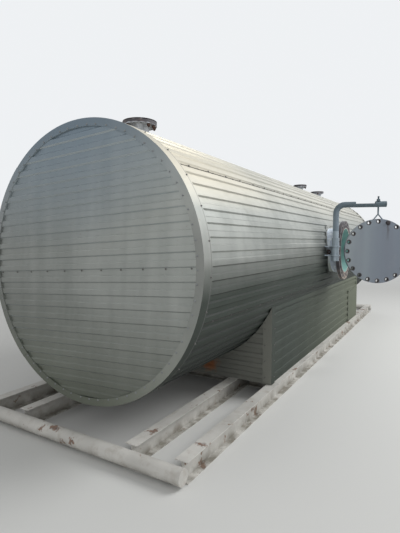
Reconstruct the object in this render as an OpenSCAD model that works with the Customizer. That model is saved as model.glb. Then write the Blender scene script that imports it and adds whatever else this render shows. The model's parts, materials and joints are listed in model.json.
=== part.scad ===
// Horizontal insulated pressure vessel on a skid.
// The shell is clad in lapped box-rib sheet, and an open side manway has its
// blind cover hanging from a swing davit.
// +X points to the manway side, +Y runs along the vessel, +Z is up.
// The origin is on the floor, midway between the ends and under the vessel axis.

/* [Vessel] */
// Outside diameter of the pressure shell
shell_od = 2134; // [2060:2:2160]
// Plate thickness of shell and heads
shell_wall = 12.7; // [8:0.1:25]
// Length between the tangent lines of the two heads
tangent_len = 6706; // [6650:2:6800]
// Straight flange of each head
head_flange = 38; // [25:1:60]
// Crown radius of each dished head, inside
head_crown_r = 2134; // [1900:2:2600]
// Knuckle radius of each dished head, inside
head_knuckle_r = 128; // [100:1:200]
// Height of the pressure shell's underside over the floor
belly_clearance = 353; // [300:1:500]

/* [Cladding] */
// Insulation between the crown of each head and the end sheets
end_insulation_t = 63; // [30:1:200]
// Insulation between shell and cladding
insulation_t = 50; // [40:1:65]
// Thickness of the cladding sheet
sheet_t = 1.2; // [0.8:0.1:2]
// Depth of the box ribs
rib_depth = 12; // [6:0.5:20]
// Width of a rib top
rib_top_w = 38; // [30:1:50]
// Width of a rib's sloping side
rib_side_w = 10; // [6:0.5:14]
// Rib pitch on the flat sheets
flat_pitch = 103; // [95:0.5:130]
// Ribs round the shell
ribs_round = 70; // [68:1:74]
// Ribs on each of the sheets round the shell, the belly sheet takes the rest
ribs_per_sheet = 12; // [11:1:13]
// Angle of the side seam above the horizontal
seam_angle = 44.3; // [40:0.1:46]
// How far a lapping sheet runs on past the rib that it covers
lap_hem = 10; // [4:1:20]
// Length of the rear lengths of cladding, up to the lap that runs round the shell
rear_length = 2424; // [2100:1:2600]
// Width of that lap
round_lap_w = 75; // [40:1:120]
// Width of the rim flashing along the shell
rim_band_w = 111; // [80:1:150]
// Width of the rim flashing on the end
rim_face_w = 60; // [40:1:90]
// Height of the end sheets' lap, from the vessel axis
end_lap_z = 11; // [-60:1:60]
// Slope of the ribs on the front end, rising towards the manway side
end_tilt = 2.9; // [0:0.1:4]
// Fitting gap between pieces that lie on each other
seat_gap = 0.3; // [0.2:0.05:0.6]

/* [Belly box] */
// Distance of the box's front wall from the front end
box_front = 1530; // [1300:5:1600]
// Distance of the box's rear wall from the rear end
box_rear = 1410; // [1300:5:1470]
// How far each side wall stands inside the outside of the shell
box_inset = 39; // [27:1:60]
// Leg width of the corner flashings
corner_leg = 95; // [60:1:120]
// Length of the access panel in the right side wall
panel_len = 750; // [500:5:900]
// Height of the access panel
panel_h = 570; // [400:5:640]
// Thickness of the access panel
panel_t = 3; // [1.5:0.5:5]

/* [Skid and saddles] */
// Depth of the skid beams
beam_h = 152; // [120:1:180]
// Flange width of the skid beams
beam_w = 102; // [80:1:120]
// Flange thickness of the skid beams
beam_flange = 8; // [6:0.5:14]
// Web thickness of the skid beams
beam_web = 6; // [4:0.5:12]
// Distance of the outer runners' centre outside the box's side walls
runner_offset = 2; // [-8:1:17]
// Distance of the inner runners from the centre plane
runner_inner_x = 600; // [500:1:700]
// Distance of the pull pipes beyond the ends of the vessel
pull_pipe_out = 170; // [120:1:250]
// Outside diameter of the pull pipes
pull_pipe_od = 114.3; // [88.9:0.1:141]
// Distance of each saddle from the tangent line of its head
saddle_from_tangent = 1403; // [1280:1:1550]
// Width of the saddles along the vessel
saddle_w = 220; // [160:5:300]
// Plate thickness of the saddles
saddle_plate = 14; // [10:1:20]
// Half angle that a saddle wraps round the shell
saddle_half_angle = 60; // [50:1:65]
// Gap between the ends of the saddle base plates and the box's side walls
saddle_end_gap = 28; // [20:1:45]

/* [Top nozzles] */
// Distance of the near nozzle from the front end
near_y = 753; // [700:1:1200]
// Distance of the middle nozzle from the rear end
mid_y = 1868; // [1700:1:2200]
// Distance of the far nozzle from the rear end
far_y = 600; // [590:1:800]
// Height of the nozzle joint faces over the insulation
nozzle_rise = 173; // [133:1:280]
// Outside diameter of the near and far nozzle necks
big_neck_od = 168.3; // [140:0.1:170]
// Outside diameter of the middle nozzle neck
small_neck_od = 114.3; // [88.9:0.1:120]
// Wall thickness of the nozzle necks
neck_wall = 11; // [6:0.5:14]
// Radial width of the near nozzle's flange
near_flange_w = 74.85; // [70:0.05:80]
// Radial width of the middle nozzle's flange
mid_flange_w = 67.85; // [65:0.05:77]
// Radial width of the far nozzle's flange
far_flange_w = 55.35; // [54:0.05:65]
// Distance of the near nozzle's bolt circle from the flange edge
near_bolt_inset = 24.05; // [18:0.05:27]
// Distance of the middle nozzle's bolt circle from the flange edge
mid_bolt_inset = 25; // [18:0.5:27]
// Distance of the far nozzle's bolt circle from the flange edge
far_bolt_inset = 18.85; // [17:0.05:20]
// Thickness of the nozzle flanges
nozzle_flange_t = 32; // [24:0.5:40]
// Thickness of the blanking plates on the nozzles
nozzle_plate_t = 4; // [3:0.5:12]
// Diameter of the nozzle bolt holes
nozzle_hole_d = 22.4; // [18:0.1:24]
// Number of bolts in the near nozzle
near_bolts = 12; // [8:4:12]
// Number of bolts in the middle and the far nozzle
small_bolts = 8; // [4:4:8]
// Thickness of the nozzle gaskets
gasket_t = 3; // [1.5:0.5:5]

/* [Manway] */
// Distance of the manway from the middle of the vessel, towards the front end
man_y_off = 168; // [0:1:300]
// Height of the manway over the vessel axis
man_z_off = 60; // [0:1:90]
// Distance of the manway joint face from the outside of the insulation
man_projection = 188; // [175:1:240]
// Outside diameter of the manway neck
man_neck_od = 610; // [580:1:620]
// Wall thickness of the manway neck
man_neck_wall = 9.5; // [8:0.5:16]
// How far the manway hub grows outwards up to the flange
man_hub_grow = 26.5; // [20:0.5:34]
// Radial width of the manway flange and cover beyond the neck
man_flange_w = 101.5; // [98:0.5:110]
// Thickness of the manway flange
man_flange_t = 46; // [40:1:56]
// Length of the flange with its tapered hub
man_hub_len = 150; // [130:1:152]
// Distance between the raised joint face and the bolt holes
man_face_margin = 11.2; // [8:0.1:16]
// Height of the raised joint faces
raised_h = 2; // [1.5:0.5:4]
// Distance of the manway bolt circle from the flange edge
man_bolt_inset = 31.85; // [28:0.05:34]
// Number of manway bolts
man_bolts = 20; // [16:4:20]
// Diameter of the manway bolt holes
man_hole_d = 34.9; // [28:0.1:36]
// Thickness of the manway cover
cover_t = 46; // [38:1:56]

/* [Davit] */
// Distance of the mast from the edge of the manway flange, along the vessel
mast_gap = 97.5; // [88:0.5:130]
// Distance of the mast behind the manway joint face
mast_set_back = 25; // [5:1:30]
// Diameter of the mast and the arm
davit_od = 73; // [60:0.5:76]
// Wall thickness of the arm
davit_wall = 7; // [4:0.5:10]
// Height of the arm over the top of the cover
arm_rise = 185.5; // [160:0.5:215]
// Radius of the bend between mast and arm
davit_bend_r = 110; // [90:1:150]
// Length of the arm beyond the eyebolt
arm_tail = 95; // [60:1:120]
// Depth of the cut-away in the top of the arm
arm_cut_depth = 28; // [15:1:34]
// Length of the cut-away in the top of the arm
arm_cut_len = 235; // [150:1:260]
// Wall thickness of the socket
socket_wall = 8; // [5:0.5:14]
// Length of the socket above the manway centre
socket_up = 168; // [140:1:200]
// Length of the socket below the manway centre
socket_down = 129; // [100:1:150]
// Running clearance round the mast in its socket
mast_fit = 0.5; // [0.3:0.1:1]
// Diameter of the eyebolt
eyebolt_d = 20; // [16:1:24]
// Height of the eyebolt's top over the arm
eyebolt_rise = 100; // [80:1:140]
// Height of the yoke's apex over the top of the cover
yoke_rise = 61.5; // [48:0.5:80]
// Half spread of the yoke's legs at the cover
yoke_half_w = 52; // [35:1:70]
// Gap left between the closed cover and the gasket
cover_gap = 5; // [5:0.5:10]
// Angle by which the cover stands open
open_angle = 64; // [0:1:160]

/* [Hidden] */
$fn = 96;
// Facets of the largest rounds, which cut long shallow edges
large_fn = 720;

// A length that cuts through everything it meets
far_cut = 3000;
// Overlap that makes a cut pass cleanly through a face
eps = 1;

shell_r = shell_od / 2;
shell_ri = shell_r - shell_wall;
axis_z = shell_r + belly_clearance;
seam_y = tangent_len / 2 - head_flange;
course_len = 2 * seam_y / 3;

// A lapped sheet lies one sheet and one fitting gap above the sheet below it
lap_step = sheet_t + seat_gap;
// The front lengths of cladding lie over the rear lengths and over their seams
front_step = 2 * lap_step;
insulation_r = shell_r + insulation_t;
sheets_round = 6;
belly_sheet = 3;
rib_angle = 360 / ribs_round;
top_angle = rib_top_w / insulation_r * 180 / PI;
side_angle = rib_side_w / insulation_r * 180 / PI;
hem_angle = lap_hem / insulation_r * 180 / PI;
valley_angle = rib_angle - top_angle - 2 * side_angle;
valley_r = (insulation_r + seat_gap) / cos(valley_angle / 2);
rear_clad_r = valley_r + rib_depth + sheet_t;
front_clad_r = rear_clad_r + front_step;
// Outermost radius of the cladding, on top of a seam
function clad_r(y) = y < lap_y ? front_clad_r + lap_step : rear_clad_r + lap_step;

// Heads
knuckle_c = shell_ri - head_knuckle_r;
crown_c = sqrt(pow(head_crown_r - head_knuckle_r, 2) - pow(knuckle_c, 2));
crown_half = atan2(knuckle_c, crown_c);
crown_y = tangent_len / 2 + head_crown_r + shell_wall - crown_c;
crown_steps = 10;
knuckle_steps = 6;

// Stack at each end, from the crown outwards
clad_end_y = crown_y + end_insulation_t;
end_rib_out = sheet_t + seat_gap + lap_step;
end_back = end_rib_out + rib_depth + sheet_t;
clad_len = 2 * (clad_end_y + seat_gap + end_back);
front_y = -clad_len / 2;
rear_y = clad_len / 2;
lap_y = rear_y - rear_length;

beam_top = beam_h;
box_half_w = shell_r - box_inset;
box_y0 = front_y + box_front;
box_y1 = rear_y - box_rear;
box_r = front_clad_r + lap_step + seat_gap;
// Where the backs of the side walls meet the cladding
side_wall_top = axis_z - sqrt(pow(box_r, 2) - pow(box_half_w - rib_depth, 2));
runner_outer_x = box_half_w + runner_offset;
saddle_y = tangent_len / 2 - saddle_from_tangent;
saddle_base_x = box_half_w - saddle_end_gap;
// Clearance of the insulation and the cladding round a saddle
saddle_clear = 10;
saddle_clear_angle = 2;
// Distance of the stiffeners from the ends and the edges of a saddle's base plate
stiffener_end = 90;
stiffener_edge = 20;

near_pos = front_y + near_y;
mid_pos = rear_y - mid_y;
far_pos = rear_y - far_y;
near_flange_od = big_neck_od + 2 * near_flange_w;
mid_flange_od = small_neck_od + 2 * mid_flange_w;
far_flange_od = big_neck_od + 2 * far_flange_w;
near_bolt_circle = near_flange_od - 2 * near_bolt_inset;
mid_bolt_circle = mid_flange_od - 2 * mid_bolt_inset;
far_bolt_circle = far_flange_od - 2 * far_bolt_inset;
nozzle_face_z = insulation_r + nozzle_rise;
face_margin = 6;
hub_grow = 16;
hub_len = 46;
// How far a nozzle neck is cut back inside the shell before it is trimmed to it
neck_inside = 20;

man_y = -man_y_off;
man_z = axis_z + man_z_off;
man_face_x = insulation_r + man_projection;
man_neck_r = man_neck_od / 2;
man_bore_r = man_neck_r - man_neck_wall;
man_hub_r = man_neck_r + man_hub_grow;
man_flange_r = man_neck_r + man_flange_w;
man_bolt_circle = 2 * (man_flange_r - man_bolt_inset);
man_face_d = man_bolt_circle - man_hole_d - 2 * man_face_margin;
hub_start_x = man_face_x - man_hub_len;
flange_back_x = man_face_x - raised_h - man_flange_t;
collar_w = 42;
collar_gap = 5;

mast_offset_y = man_flange_r + mast_gap;
mast_x = man_face_x - mast_set_back;
mast_y = man_y - mast_offset_y;
cover_x = man_face_x + gasket_t + cover_gap;
cover_top_z = man_z + man_flange_r;
cover_mid_x = cover_x + raised_h + cover_t / 2;
arm_len = sqrt(pow(cover_mid_x - mast_x, 2) + pow(mast_offset_y, 2));
closed_angle = atan2(cover_mid_x - mast_x, mast_offset_y);
mast_r = davit_od / 2;
arm_z = cover_top_z + arm_rise;
socket_r = mast_r + mast_fit + socket_wall;
socket_z0 = man_z - socket_down;
socket_z1 = man_z + socket_up;
socket_cap = 10;
bracket_t = 14;
bracket_z = man_bolt_circle / 4 * sin(360 / man_bolts);
// Gap between the brackets and the back of the manway flange
bracket_gap = 8;

// Nut and washer of the eyebolt, and how much thinner the yoke's legs are
nut_h = 22;
nut_r = 22;
washer_h = 5;
washer_r = 26;
leg_thinner = 2;

// Points of an arc about [cx, cy] from angle a0 to a1
function arc(cx, cy, r, a0, a1, steps) =
    [for (i = [0 : steps]) let (a = a0 + (a1 - a0) * i / steps)
        [cx + r * cos(a), cy + r * sin(a)]];

// Outline of a dished head from its knuckle to its crown, grown by g
function dish(g) = concat(
    arc(knuckle_c, 0, head_knuckle_r + g, 0, 90 - crown_half, knuckle_steps),
    [for (i = [1 : crown_steps]) let (a = crown_half * (1 - i / crown_steps))
        [(head_crown_r + g) * sin(a), (head_crown_r + g) * cos(a) - crown_c]]);

function reversed(list) = [for (i = [len(list) - 1 : -1 : 0]) list[i]];
function polar(r, a) = [r * cos(a), r * sin(a)];

// Corner points of box ribs: [place, height 0 or 1, lapped 0 or 1]
function rib_knots(start, count, pitch, top, side) = [for (i = [0 : count - 1])
    let (a = start + i * pitch, valley = pitch - top - 2 * side)
    for (k = [[a, 0, 0], [a + valley, 0, 0], [a + valley + side, 1, 0],
        [a + valley + side + top, 1, 0]]) k];

// One rib of lap below place a, and one rib of lap above it
function lap_below(a, top, side, hem) = [[a - 2 * side - top - hem, 0, 1],
    [a - 2 * side - top, 0, 1], [a - side - top, 1, 1], [a - side, 1, 1], [a, 0, 1]];
function lap_above(a, pitch, top, side, hem) = [[a, 0, 1],
    [a + pitch - top - 2 * side, 0, 1], [a + pitch - top - side, 1, 1],
    [a + pitch - side, 1, 1], [a + pitch, 0, 1], [a + pitch + hem, 0, 1]];

// The corner points without the first one
function tail(list) = [for (i = [1 : len(list) - 1]) list[i]];

// Runs its children's section along the vessel from y0 to y1
module along_y(y0, y1) {
    translate([0, y1, axis_z]) rotate([90, 0, 0]) linear_extrude(y1 - y0) children();
}

// A round bar about the vessel axis
module bar_y(y0, y1, r) {
    translate([0, y1, axis_z]) rotate([90, 0, 0]) cylinder(h = y1 - y0, r = r, $fn = large_fn);
}

// A round bar straight up through the crown at y
module crown_bar(y, r, z0 = 0, z1 = far_cut) {
    translate([0, y, axis_z + z0]) cylinder(h = z1 - z0, r = r);
}

// A round bar about the manway axis
module manway_bar(r, x0 = 0, x1 = far_cut) {
    translate([x0, man_y, man_z]) rotate([0, 90, 0])
        cylinder(h = x1 - x0, r = r, $fn = large_fn);
}

// Space that the nozzle necks and the manway neck need, with a gap round them
module neck_space(gap) {
    crown_bar(near_pos, big_neck_od / 2 + gap);
    crown_bar(mid_pos, small_neck_od / 2 + gap);
    crown_bar(far_pos, big_neck_od / 2 + gap);
    manway_bar(man_neck_r + gap);
}

// Sector of the insulation that is left out round a saddle
module saddle_space() {
    half = saddle_half_angle + saddle_clear_angle;
    for (s = [-1, 1])
        along_y(s * saddle_y - saddle_w / 2 - saddle_clear,
            s * saddle_y + saddle_w / 2 + saddle_clear)
            polygon([[0, 0], polar(far_cut, -90 - half), [0, -far_cut],
                polar(far_cut, -90 + half)]);
}

// Shell courses and heads
module shell_course(index) {
    y0 = -seam_y + index * course_len;
    difference() {
        bar_y(y0, y0 + course_len, shell_r);
        bar_y(y0 - eps, y0 + course_len + eps, shell_ri);
        neck_space(seat_gap);
    }
}

module head() {
    translate([0, tangent_len / 2, axis_z]) rotate([-90, 0, 0]) rotate_extrude()
        polygon(concat([[shell_ri, -head_flange], [shell_r, -head_flange]],
            dish(shell_wall), reversed(dish(0))));
}

// Mirrors its children to the front end
module at_front() {
    mirror([0, 1, 0]) children();
}

// Insulation, in two jackets as thick as the cladding over them needs
module shell_insulation() {
    end = tangent_len / 2;
    color("khaki") difference() {
        union() {
            bar_y(-end, lap_y - round_lap_w - seat_gap, insulation_r + front_step);
            bar_y(-end, end, insulation_r);
        }
        bar_y(-end - eps, end + eps, shell_r + seat_gap);
        neck_space(collar_gap);
        saddle_space();
    }
}

module head_pad(r) {
    translate([0, tangent_len / 2, axis_z]) rotate([-90, 0, 0]) rotate_extrude()
        polygon(concat(dish(shell_wall + seat_gap),
            [[0, clad_end_y - tangent_len / 2], [r, clad_end_y - tangent_len / 2], [r, 0]]));
}

module head_insulation() {
    color("khaki") {
        at_front() head_pad(insulation_r + front_step);
        head_pad(insulation_r);
    }
}

// Ribs on a sheet, and the angle that it starts from
function sheet_ribs(index) =
    index == belly_sheet ? ribs_round - (sheets_round - 1) * ribs_per_sheet : ribs_per_sheet;
function sheet_start(index) =
    index == 0 ? seam_angle : sheet_start(index - 1) + sheet_ribs(index - 1) * rib_angle;

// One length of cladding, lapped over its neighbours as told
module cladding_length(index, y0, y1, base_r, lap_low, lap_high) {
    a0 = sheet_start(index);
    a1 = sheet_start(index + 1);
    ribs = rib_knots(a0, sheet_ribs(index), rib_angle, top_angle, side_angle);
    low = lap_low
        ? concat(lap_below(a0, top_angle, side_angle, hem_angle), tail(ribs)) : ribs;
    high = lap_high
        ? lap_above(a1, rib_angle, top_angle, side_angle, hem_angle) : [[a1, 0, 0]];
    knots = concat(low, high);
    inner = [for (k = knots) polar(base_r + k[1] * rib_depth + k[2] * lap_step, k[0])];
    outer = [for (k = knots)
        polar(base_r + k[1] * rib_depth + k[2] * lap_step + sheet_t, k[0])];
    along_y(y0, y1) polygon(concat(outer, reversed(inner)));
}

// A sheet is a rear length with a front length lapped over it
module cladding_sheet(index, lap_low, lap_high) {
    difference() {
        union() {
            cladding_length(index, lap_y - round_lap_w, clad_end_y, valley_r,
                lap_low, lap_high);
            cladding_length(index, -clad_end_y, lap_y, valley_r + front_step,
                lap_low, lap_high);
        }
        neck_space(collar_gap);
        saddle_space();
    }
}

// Flat ribbed sheet: ribs run along X, stand out to -Y, and stack up from z0
module flat_ribs(z0, count, length, lap = false) {
    ribs = rib_knots(z0, count, flat_pitch, rib_top_w, rib_side_w);
    low = lap ? concat(lap_below(z0, rib_top_w, rib_side_w, lap_hem), tail(ribs)) : ribs;
    knots = concat(low, [[z0 + count * flat_pitch, 0, 0]]);
    back = [for (k = knots) [k[1] * rib_depth + k[2] * lap_step, k[0]]];
    face = [for (k = knots) [k[1] * rib_depth + k[2] * lap_step + sheet_t, k[0]]];
    rotate([0, 0, -90]) rotate([90, 0, 0]) linear_extrude(length, center = true)
        polygon(concat(face, reversed(back)));
}

end_ribs = ceil((rear_clad_r + abs(end_lap_z)) / flat_pitch);

// Half of an end, cut round to fit inside the rim flashing
module end_sheet(r, upper, tilt = 0) {
    y = clad_len / 2 - end_back + sheet_t;
    z0 = upper ? end_lap_z : end_lap_z - end_ribs * flat_pitch;
    at_front() intersection() {
        mirror([0, 1, 0]) translate([0, -y + sheet_t, axis_z]) rotate([0, -tilt, 0])
            flat_ribs(z0, end_ribs, 2 * r + 2 * eps, upper);
        bar_y(0, clad_len, r);
    }
}

// Rim flashing in four lapped segments
module rim_segment(r, a0, a1, step) {
    ri = r + seat_gap + step;
    ro = ri + sheet_t;
    y = clad_len / 2;
    translate([0, 0, axis_z]) rotate([-90, 0, 0]) rotate([0, 0, a0])
        rotate_extrude(angle = a1 - a0)
            polygon([[ri, y - rim_band_w], [ro, y - rim_band_w], [ro, y + step],
                [r - rim_face_w, y + step], [r - rim_face_w, y - sheet_t + step],
                [ri, y - sheet_t + step]]);
}

module rim_flashing(r) {
    lap = 3;
    for (i = [0 : 3]) let (high = i % 2)
        rim_segment(r, 44 + i * 90 - high * lap, 134 + i * 90 + high * lap,
            high * lap_step);
}

// Belly box
module box_side_wall() {
    count = ceil((axis_z - beam_top) / flat_pitch);
    difference() {
        intersection() {
            translate([box_half_w - rib_depth, (box_y0 + box_y1) / 2, beam_top])
                rotate([0, 0, 90]) flat_ribs(0, count, box_y1 - box_y0);
            translate([0, box_y0, 0]) cube([far_cut, box_y1 - box_y0, side_wall_top]);
        }
        bar_y(box_y0 - eps, box_y1 + eps, box_r);
    }
}

module box_end_wall() {
    count = ceil((axis_z - beam_top) / flat_pitch);
    difference() {
        intersection() {
            translate([0, box_y0 + rib_depth, beam_top])
                flat_ribs(0, count, 2 * (box_half_w - rib_depth - sheet_t - seat_gap));
            translate([-far_cut / 2, box_y0 - eps, 0])
                cube([far_cut, 2 * rib_depth, axis_z - box_half_w / 2]);
        }
        bar_y(box_y0 - far_cut, box_y0 + far_cut, box_r);
    }
}

// Angle flashing over one vertical corner of the box
module corner_flashing() {
    x = box_half_w + sheet_t + seat_gap;
    y = box_y0 - sheet_t - seat_gap;
    difference() {
        translate([0, 0, beam_top]) linear_extrude(axis_z - beam_top)
            polygon([[x + sheet_t, y - sheet_t], [x - corner_leg, y - sheet_t],
                [x - corner_leg, y], [x, y], [x, y + corner_leg],
                [x + sheet_t, y + corner_leg]]);
        bar_y(y - 2 * corner_leg, y + 2 * corner_leg, box_r);
        translate([0, 0, axis_z - box_half_w / 2]) cube(far_cut, center = false);
    }
}

module box_corner_flashings() {
    color("silver") for (side = [0, 1]) mirror([side, 0, 0]) {
        corner_flashing();
        translate([0, box_y0 + box_y1, 0]) mirror([0, 1, 0]) corner_flashing();
    }
}

module access_panel() {
    color("gainsboro") translate([box_half_w + sheet_t + seat_gap,
        box_y1 - corner_leg - panel_len, beam_top]) cube([panel_t, panel_len, panel_h]);
}

// Saddle: base plate, web, stiffeners and wear plate
module saddle() {
    wear_r = shell_r + seat_gap + saddle_plate;
    outer_x = saddle_base_x - stiffener_end;
    rib_x = [-outer_x, -saddle_base_x / 2, 0, saddle_base_x / 2, outer_x];
    top = axis_z - shell_r * cos(saddle_half_angle);
    color("slategray") difference() {
        union() {
            translate([-saddle_base_x, -saddle_w / 2, beam_top])
                cube([2 * saddle_base_x, saddle_w, saddle_plate]);
            translate([-outer_x, -saddle_plate / 2, beam_top])
                cube([2 * outer_x, saddle_plate, top - beam_top]);
            for (x = rib_x)
                translate([x - saddle_plate / 2, -saddle_w / 2 + stiffener_edge, beam_top])
                    cube([saddle_plate, saddle_w - 2 * stiffener_edge, top - beam_top]);
            intersection() {
                bar_y(-saddle_w / 2, saddle_w / 2, wear_r);
                along_y(-saddle_w / 2, saddle_w / 2) polygon([[0, 0],
                    polar(far_cut, -90 - saddle_half_angle), [0, -far_cut],
                    polar(far_cut, -90 + saddle_half_angle)]);
            }
        }
        bar_y(-saddle_w, saddle_w, shell_r + seat_gap);
    }
}

// Skid
module beam_section() {
    square([beam_web, beam_h], center = true);
    for (s = [-1, 1]) translate([0, s * (beam_h - beam_flange) / 2])
        square([beam_w, beam_flange], center = true);
}

pipe_y = clad_len / 2 + pull_pipe_out;
runner_half = pipe_y - pull_pipe_od / 2 - seat_gap;

module runner(x) {
    translate([x, runner_half, beam_h / 2]) rotate([90, 0, 0])
        linear_extrude(2 * runner_half) beam_section();
}

module cross_beam(x0, x1, y) {
    translate([x0, y, beam_h / 2]) rotate([90, 0, 90])
        linear_extrude(x1 - x0) beam_section();
}

module skid_cross_members() {
    inner = runner_inner_x - beam_w / 2 - seat_gap;
    gap0 = runner_inner_x + beam_w / 2 + seat_gap;
    gap1 = runner_outer_x - beam_w / 2 - seat_gap;
    color("whitesmoke") for (y = [-saddle_y, 0, saddle_y]) {
        cross_beam(-inner, inner, y);
        for (s = [0, 1]) mirror([s, 0, 0]) cross_beam(gap0, gap1, y);
    }
}

module skid_pull_pipes() {
    half = runner_outer_x + beam_w / 2;
    color("whitesmoke") for (s = [-1, 1]) translate([-half, s * pipe_y, beam_h / 2])
        rotate([0, 90, 0]) cylinder(h = 2 * half, r = pull_pipe_od / 2);
}

// Ring of bolt holes through a flange that stands on its own axis
module bolt_holes(circle_d, count, hole_d, h) {
    for (i = [0 : count - 1]) rotate([0, 0, i * 360 / count])
        translate([circle_d / 2, 0, -eps]) cylinder(h = h + 2 * eps, r = hole_d / 2);
}

function face_r(circle_d) = (circle_d - nozzle_hole_d) / 2 - face_margin;

// Welding-neck nozzle on the crown
module nozzle(y, neck_od, flange_od, circle_d, bolts) {
    ro = neck_od / 2;
    back = nozzle_face_z - raised_h - nozzle_flange_t;
    color("saddlebrown") difference() {
        translate([0, y, axis_z]) rotate_extrude() polygon([[ro - neck_wall, shell_ri - neck_inside],
            [ro, shell_ri - neck_inside], [ro, back - hub_len], [ro + hub_grow, back],
            [flange_od / 2, back], [flange_od / 2, back + nozzle_flange_t],
            [face_r(circle_d), back + nozzle_flange_t], [face_r(circle_d), nozzle_face_z],
            [ro - neck_wall, nozzle_face_z]]);
        bar_y(-far_cut, far_cut, shell_ri);
        translate([0, y, axis_z + back])
            rotate([0, 0, 180 / bolts]) bolt_holes(circle_d, bolts, nozzle_hole_d, nozzle_flange_t);
    }
}

// Thin blanking plate over the gasket
module nozzle_blind(y, flange_od, circle_d, bolts) {
    color("saddlebrown") translate([0, y, axis_z + nozzle_face_z + gasket_t]) difference() {
        cylinder(h = nozzle_plate_t, r = flange_od / 2);
        rotate([0, 0, 180 / bolts]) bolt_holes(circle_d, bolts, nozzle_hole_d, nozzle_plate_t);
    }
}

module nozzle_gasket(y, neck_od, circle_d) {
    translate([0, y, axis_z + nozzle_face_z]) difference() {
        cylinder(h = gasket_t, r = face_r(circle_d));
        translate([0, 0, -eps]) cylinder(h = gasket_t + 2 * eps, r = neck_od / 2);
    }
}

module nozzle_gaskets() {
    color("dimgray") {
        nozzle_gasket(near_pos, big_neck_od, near_bolt_circle);
        nozzle_gasket(mid_pos, small_neck_od, mid_bolt_circle);
        nozzle_gasket(far_pos, big_neck_od, far_bolt_circle);
    }
}

// Sheet collar round a nozzle: an apron on the cladding, and a short upright sleeve
module nozzle_collar(y, neck_od) {
    r = clad_r(y) + seat_gap;
    ro = neck_od / 2 + collar_gap;
    reach = ro + collar_w;
    difference() {
        union() {
            difference() {
                intersection() {
                    bar_y(y - reach - eps, y + reach + eps, r + sheet_t);
                    crown_bar(y, reach);
                }
                bar_y(y - reach - 2 * eps, y + reach + 2 * eps, r);
            }
            crown_bar(y, ro, r - rib_depth, r + 2 * rib_depth);
        }
        crown_bar(y, neck_od / 2 + seat_gap);
    }
}

module nozzle_collars() {
    color("silver") {
        nozzle_collar(near_pos, big_neck_od);
        nozzle_collar(mid_pos, small_neck_od);
        nozzle_collar(far_pos, big_neck_od);
    }
}

// Manway
module manway_neck() {
    color("lightslategray") difference() {
        manway_bar(man_neck_r, shell_ri / 2, hub_start_x);
        manway_bar(man_bore_r, 0, man_face_x + eps);
        bar_y(-far_cut, far_cut, shell_ri);
    }
}

// Outline of the manway flange and its hub, grown by g
function hub_outline(g) = [[0, hub_start_x], [man_neck_r + g, hub_start_x],
    [man_hub_r + g, flange_back_x - g], [man_flange_r + g, flange_back_x - g],
    [man_flange_r + g, man_face_x - raised_h],
    [man_face_d / 2, man_face_x - raised_h], [man_face_d / 2, man_face_x], [0, man_face_x]];

module manway_flange() {
    color("slategray") translate([0, man_y, man_z]) rotate([0, 90, 0]) difference() {
        rotate_extrude() polygon(hub_outline(0));
        translate([0, 0, hub_start_x - eps])
            cylinder(h = man_hub_len + 2 * eps, r = man_bore_r);
        translate([0, 0, flange_back_x])
            bolt_holes(man_bolt_circle, man_bolts, man_hole_d, man_flange_t);
    }
}

module manway_gasket() {
    color("linen") difference() {
        manway_bar(man_face_d / 2, man_face_x, man_face_x + gasket_t);
        manway_bar(man_neck_r, man_face_x - eps, man_face_x + gasket_t + eps);
    }
}

module manway_collar() {
    r = clad_r(man_y) + seat_gap;
    ro = man_neck_r + collar_gap;
    color("silver") difference() {
        intersection() {
            bar_y(man_y - far_cut, man_y + far_cut, r + sheet_t);
            manway_bar(ro + collar_w);
        }
        bar_y(man_y - far_cut, man_y + far_cut, r);
        manway_bar(man_neck_r + seat_gap);
    }
}

// Davit: the socket is fixed to the manway hub by two horizontal brackets
module bracket_plan() {
    reach = flange_back_x - bracket_gap;
    difference() {
        union() {
            translate([mast_x, mast_y]) circle(r = socket_r + bracket_t);
            translate([hub_start_x, mast_y - socket_r])
                square([reach - hub_start_x, mast_offset_y]);
        }
        translate([mast_x, mast_y]) circle(r = mast_r + mast_fit);
        translate([reach, mast_y + socket_r + bracket_t]) square(far_cut);
    }
}

module davit_socket() {
    color("lightsteelblue") difference() {
        union() {
            translate([mast_x, mast_y, socket_z0])
                cylinder(h = socket_z1 - socket_z0, r = socket_r);
            for (s = [-1, 1]) translate([0, 0, man_z + s * bracket_z - bracket_t / 2])
                linear_extrude(bracket_t) bracket_plan();
        }
        translate([mast_x, mast_y, socket_z0 + socket_cap])
            cylinder(h = far_cut, r = mast_r + mast_fit);
        translate([0, man_y, man_z]) rotate([0, 90, 0])
            rotate_extrude() polygon(hub_outline(seat_gap));
        manway_bar(man_neck_r, 0, hub_start_x + eps);
    }
}

// Places what is drawn along +X from the mast into the open position
module on_davit() {
    translate([mast_x, mast_y, 0]) rotate([0, 0, 90 - closed_angle - open_angle]) children();
}

// The same for what hangs on the eyebolt, square to the joint face when closed
module on_cover() {
    on_davit() translate([arm_len, 0, 0]) rotate([0, 0, closed_angle]) children();
}

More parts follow.
